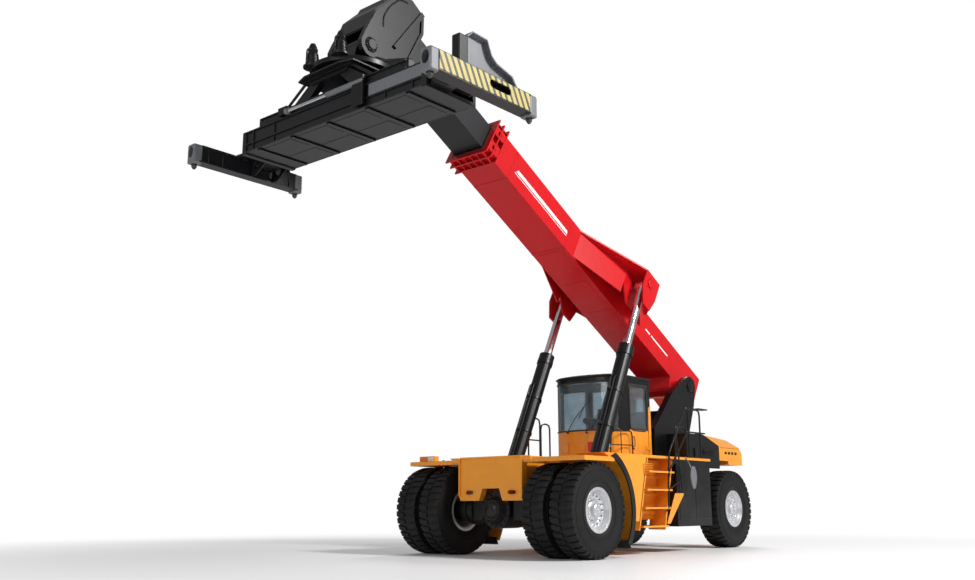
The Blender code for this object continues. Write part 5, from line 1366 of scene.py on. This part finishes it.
shift_rod = bar(head(0.60, -0.98, -1.00), head(0.60, 0.05, -1.00), 0.030, sides=24)
settle(shift_rod, "side_shift_rod", chrome, "slewing_frame")
shift_barrel = [bar(head(0.60, 0.05, -1.00), head(0.60, 0.95, -1.00), 0.050, sides=24, bevel=0.006),
                bar(head(0.60, -1.03, -1.00), head(0.60, -0.96, -1.00), 0.055, sides=24, bevel=0.006)]
for y in (-0.995, 0.90):
    shift_barrel.append(block(head(0.52, y - 0.045, -1.05), head(0.61, y + 0.045, -0.93), 0.006))
settle(joined(shift_barrel), "side_shift_barrel", grey, "slewing_frame")
print("side shift:", len(rail_parts), "rail parts")

# %% [markdown]
# ## Main box
# The box is welded from plate, with bands across its underside, seams along its sides and a collar
# at each end where the arms come out. The collar is a block with its core cut away.

# %% Main box: bands, seams and collars
LOW, HIGH = -1.45, -1.05
box_parts = []
for y in (-1.86, -0.94, 0.0, 0.94, 1.86):
    box_parts.append(plate([head(-0.53, y - 0.035, LOW), head(0.53, y - 0.035, LOW),
                            head(0.53, y - 0.020, LOW - 0.026),
                            head(-0.53, y - 0.020, LOW - 0.026)], (0, 0.07, 0), 0.004))
for y in (-1.40, -0.47, 0.47, 1.40):
    for x in (-0.27, 0.27):
        box_parts.append(block(head(x - 0.20, y - 0.36, LOW - 0.006), head(x + 0.20, y + 0.36, LOW + 0.004),
                               0.004))
for flip in (1, -1):
    face = flip * 0.54
    for z in (LOW + 0.012, LOW + 0.15, HIGH - 0.02):
        box_parts.append(block(head(min(face - 0.01, face + flip * 0.028), -2.28, z - 0.012),
                               head(max(face - 0.01, face + flip * 0.028), 2.28, z + 0.012), 0.003))
    for y in (-2.0, -1.4, 1.4, 2.0):
        box_parts.append(block(head(min(face - 0.01, face + flip * 0.022), y - 0.010, LOW + 0.02),
                               head(max(face - 0.01, face + flip * 0.022), y + 0.010, HIGH - 0.02), 0.002))
for flip in (1, -1):
    end = flip * 2.30
    collar = block(head(-0.565, min(end - flip * 0.10, end + flip * 0.004), LOW - 0.026),
                   head(0.565, max(end - flip * 0.10, end + flip * 0.004), HIGH - 0.003), 0.006)
    core = block(head(-0.53, min(end - flip * 0.2, end + flip * 0.2), LOW + 0.002),
                 head(0.53, max(end - flip * 0.2, end + flip * 0.2), HIGH - 0.002), 0)
    cut(collar, [core])
    box_parts.append(collar)
made = settle(joined(box_parts), "spreader_bands", charcoal, "spreader")
side_plate = plate([head(0.55, 1.02, -1.065), head(0.55, 2.26, -1.065), head(0.55, 2.26, -1.28),
                    head(0.55, 1.02, -1.28)], (0.012, 0, 0), 0.004)
settle(side_plate, "spreader_side_plate", grey, "spreader")
stops = [block(head(0.50, 0.70, -1.04), head(0.64, 0.96, -0.90), 0.010),
         block(head(0.575, 0.70, -1.40), head(0.64, 0.96, -1.03), 0.010),
         block(head(0.50, -1.22, -1.04), head(0.63, -0.98, -0.90), 0.010)]
settle(joined(stops), "shift_stops", black, "slewing_frame")
print("main box:", len(box_parts), "bands, seams and collars")

# %% [markdown]
# ## End beams
# An end beam holds a container by two corners. Cast housings at its ends carry the twistlocks, and
# its outer face has warning stripes. It is made once, on the left, and mirrored for the right.

# %% End beams with housings and twistlocks
BEAM_LOW, BEAM_TOP, BEAM_OUT, BEAM_IN = -1.62, -1.30, 3.029, 2.809
TWISTLOCK_X, TWISTLOCK_Y = 1.1295, 2.9265
GRIP_START, GRIP_END, GRIP_HEIGHT = -0.50, -0.13, -1.43     # the long hole in the beam
HOUSING_STRETCH = 1.5


def make_beam():
    """The left end beam as its three materials: dark steel, light housings, striped face."""
    core = block(head(-1.06, BEAM_IN + 0.012, BEAM_LOW + 0.03), head(1.06, BEAM_OUT - 0.014, BEAM_TOP), 0.010)
    flange = plate([head(-1.10, BEAM_IN - 0.018, BEAM_LOW + 0.028),
                    head(1.10, BEAM_IN - 0.018, BEAM_LOW + 0.028),
                    head(1.10, BEAM_OUT - 0.001, BEAM_LOW + 0.028),
                    head(-1.10, BEAM_OUT - 0.001, BEAM_LOW + 0.028)], (0, 0, -0.026), 0.004)
    cap = block(head(-1.06, BEAM_IN - 0.006, BEAM_TOP - 0.02), head(1.06, BEAM_OUT - 0.002, BEAM_TOP + 0.006),
                0.004)
    slot_cut = [bar(head(x, BEAM_OUT - 0.13, GRIP_HEIGHT), head(x, BEAM_OUT + 0.3, GRIP_HEIGHT), 0.062,
                    sides=24)
                for x in (GRIP_START, GRIP_END)]
    slot_cut.append(block(head(GRIP_START, BEAM_OUT - 0.13, -1.492), head(GRIP_END, BEAM_OUT + 0.3, -1.368),
                          0))
    cut(core, slot_cut)
    gussets = [plate([head(x, BEAM_IN + 0.014, -1.34), head(x, BEAM_IN + 0.014, BEAM_LOW + 0.04),
                      head(x, BEAM_IN - 0.014, BEAM_LOW + 0.03)],
                     (0.016, 0, 0), 0) for x in (-0.9, -0.6, 0.6, 0.9)]
    dark = joined([core, flange, cap] + gussets)
    light = []
    for flip in (1, -1):
        low_x, high_x = min(flip * 1.04, flip * 1.22), max(flip * 1.04, flip * 1.22)
        housing = block(head(low_x, BEAM_IN, BEAM_LOW - 0.035), head(high_x, BEAM_OUT, BEAM_TOP + 0.012),
                        0.030)
        eye = bar(head(0, (BEAM_IN + BEAM_OUT) / 2, -1.44), head(flip * 1.5, (BEAM_IN + BEAM_OUT) / 2, -1.44),
                  0.072, sides=28)
        eye.scale = (1, 1, HOUSING_STRETCH)
        eye.location.z = (1 - HOUSING_STRETCH) * (HEAD_PIN.z - 1.44)
        pick(eye)
        bpy.ops.object.transform_apply(location=True, rotation=True, scale=True)
        foot_cut = bar(head(flip * TWISTLOCK_X, TWISTLOCK_Y, BEAM_LOW - 0.2),
                       head(flip * TWISTLOCK_X, TWISTLOCK_Y, BEAM_LOW + 0.03), 0.058, sides=20)
        cut(housing, [eye, foot_cut])
        light.append(housing)
    locks = []
    for flip in (1, -1):
        spot = head(flip * TWISTLOCK_X, TWISTLOCK_Y, BEAM_LOW)
        locks.append(turned([spot + Vector((r, 0, z)) for r,
                             z in ((0, -0.125), (0.020, -0.122), (0.047, -0.085), (0.050, -0.062),
                                                                  (0.036, -0.055), (0.036, 0.01), (0, 0.01))],
                                                                  spot, (0, 0, 1), 24))
    stripes = block(head(-1.038, BEAM_OUT - 0.0155, BEAM_LOW + 0.032),
                    head(1.038, BEAM_OUT - 0.0005, BEAM_TOP - 0.004), 0.003)
    cut(stripes, [bar(head(x, BEAM_OUT - 0.2, GRIP_HEIGHT), head(x, BEAM_OUT + 0.2, GRIP_HEIGHT), 0.068,
                      sides=24)
                  for x in (GRIP_START, GRIP_END)]
        + [block(head(GRIP_START, BEAM_OUT - 0.2, -1.498), head(GRIP_END, BEAM_OUT + 0.2, -1.362), 0)])
    return dark, joined(light), joined(locks), stripes


dark, light, locks, stripes = make_beam()
settle(dark, "end_beam_left_steel", charcoal, "arm_left")
settle(light, "end_beam_left_housings", grey, "arm_left")
settle(locks, "end_beam_left_twistlocks", iron, "arm_left")
settle(stripes, "end_beam_left_stripes", hazard, "arm_left")
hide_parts("end_beam_left")
for part, finish_name in ((dark, "steel"), (light, "housings"), (locks, "twistlocks"), (stripes, "stripes")):
    twin = copied(part, f"end_beam_right_{finish_name}", "arm_right", MIRROR)
    if finish_name == "steel":
        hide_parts("end_beam_right")
print("end beams", round(2 * BEAM_OUT, 3), "m apart over all")

# %% [markdown]
# ## Arm heads
# A tapered plate and two webs spread the load from the arm into the end beam. A round hole in each
# web saves weight and is cut with a bar.

# %% Arm heads: the tapered brackets that hold the end beams
for side, flip, face in (("left", 1, 0.28), ("right", -1, -0.28)):
    gusset = plate([head(face - 0.26, flip * 2.34, -1.10), head(face + 0.26, flip * 2.34, -1.10),
                    head(face + 0.62, flip * 2.80, -1.285),
                    head(face - 0.62, flip * 2.80, -1.285)], (0, 0, -0.022), 0.004)
    webs = []
    for x in (face - 0.245, face + 0.245):
        web = plate([head(x - 0.011, flip * 2.33, -1.10), head(x - 0.011, flip * 2.82, -1.29),
                     head(x - 0.011, flip * 2.82, -1.58),
                     head(x - 0.011, flip * 2.70, -1.60), head(x - 0.011, flip * 2.40, -1.42)], (0.022, 0, 0),
                     0)
        cut(web, [bar(head(x - 0.3, flip * 2.66, -1.40), head(x + 0.3, flip * 2.66, -1.40), 0.085, sides=24)])
        webs.append(web)
    settle(joined([gusset] + webs), f"arm_bracket_{side}", charcoal, f"arm_{side}")
print("arm heads:", len(webs), "webs a side")

# %% [markdown]
# ## Guide bracket
# A tall bracket with a curved back stands on the left end beam. It is a thin plate with a rim
# welded round it, both from one outline, and a block beside it.

# %% Guide bracket on the left end beam
guide_outline = ((0.36, -1.31), (0.36, -0.80), (0.24, -0.69), (-0.10, -0.70), (-0.14, -0.80), (-0.20, -0.92),
                 (-0.32, -1.01),
                 (-0.70, -1.10), (-0.86, -1.31))
guide_plate = plate([head(x, 2.83, z) for x, z in guide_outline], (0, 0.03, 0), 0.004)
guide_rim = plate([head(x, 2.815, z) for x, z in guide_outline] + [head(x * 0.97 + 0.004, 2.815, z - 0.02)
        for x, z in guide_outline[::-1]],
                  (0, 0.14, 0), 0)
settle(joined([guide_plate, guide_rim]), "guide_bracket", grey, "arm_left")
settle(block(head(0.38, 2.83, -1.31), head(0.58, 2.99, -0.84), 0.02), "guide_block", black, "arm_left")
print("guide bracket:", len(guide_outline), "corners")
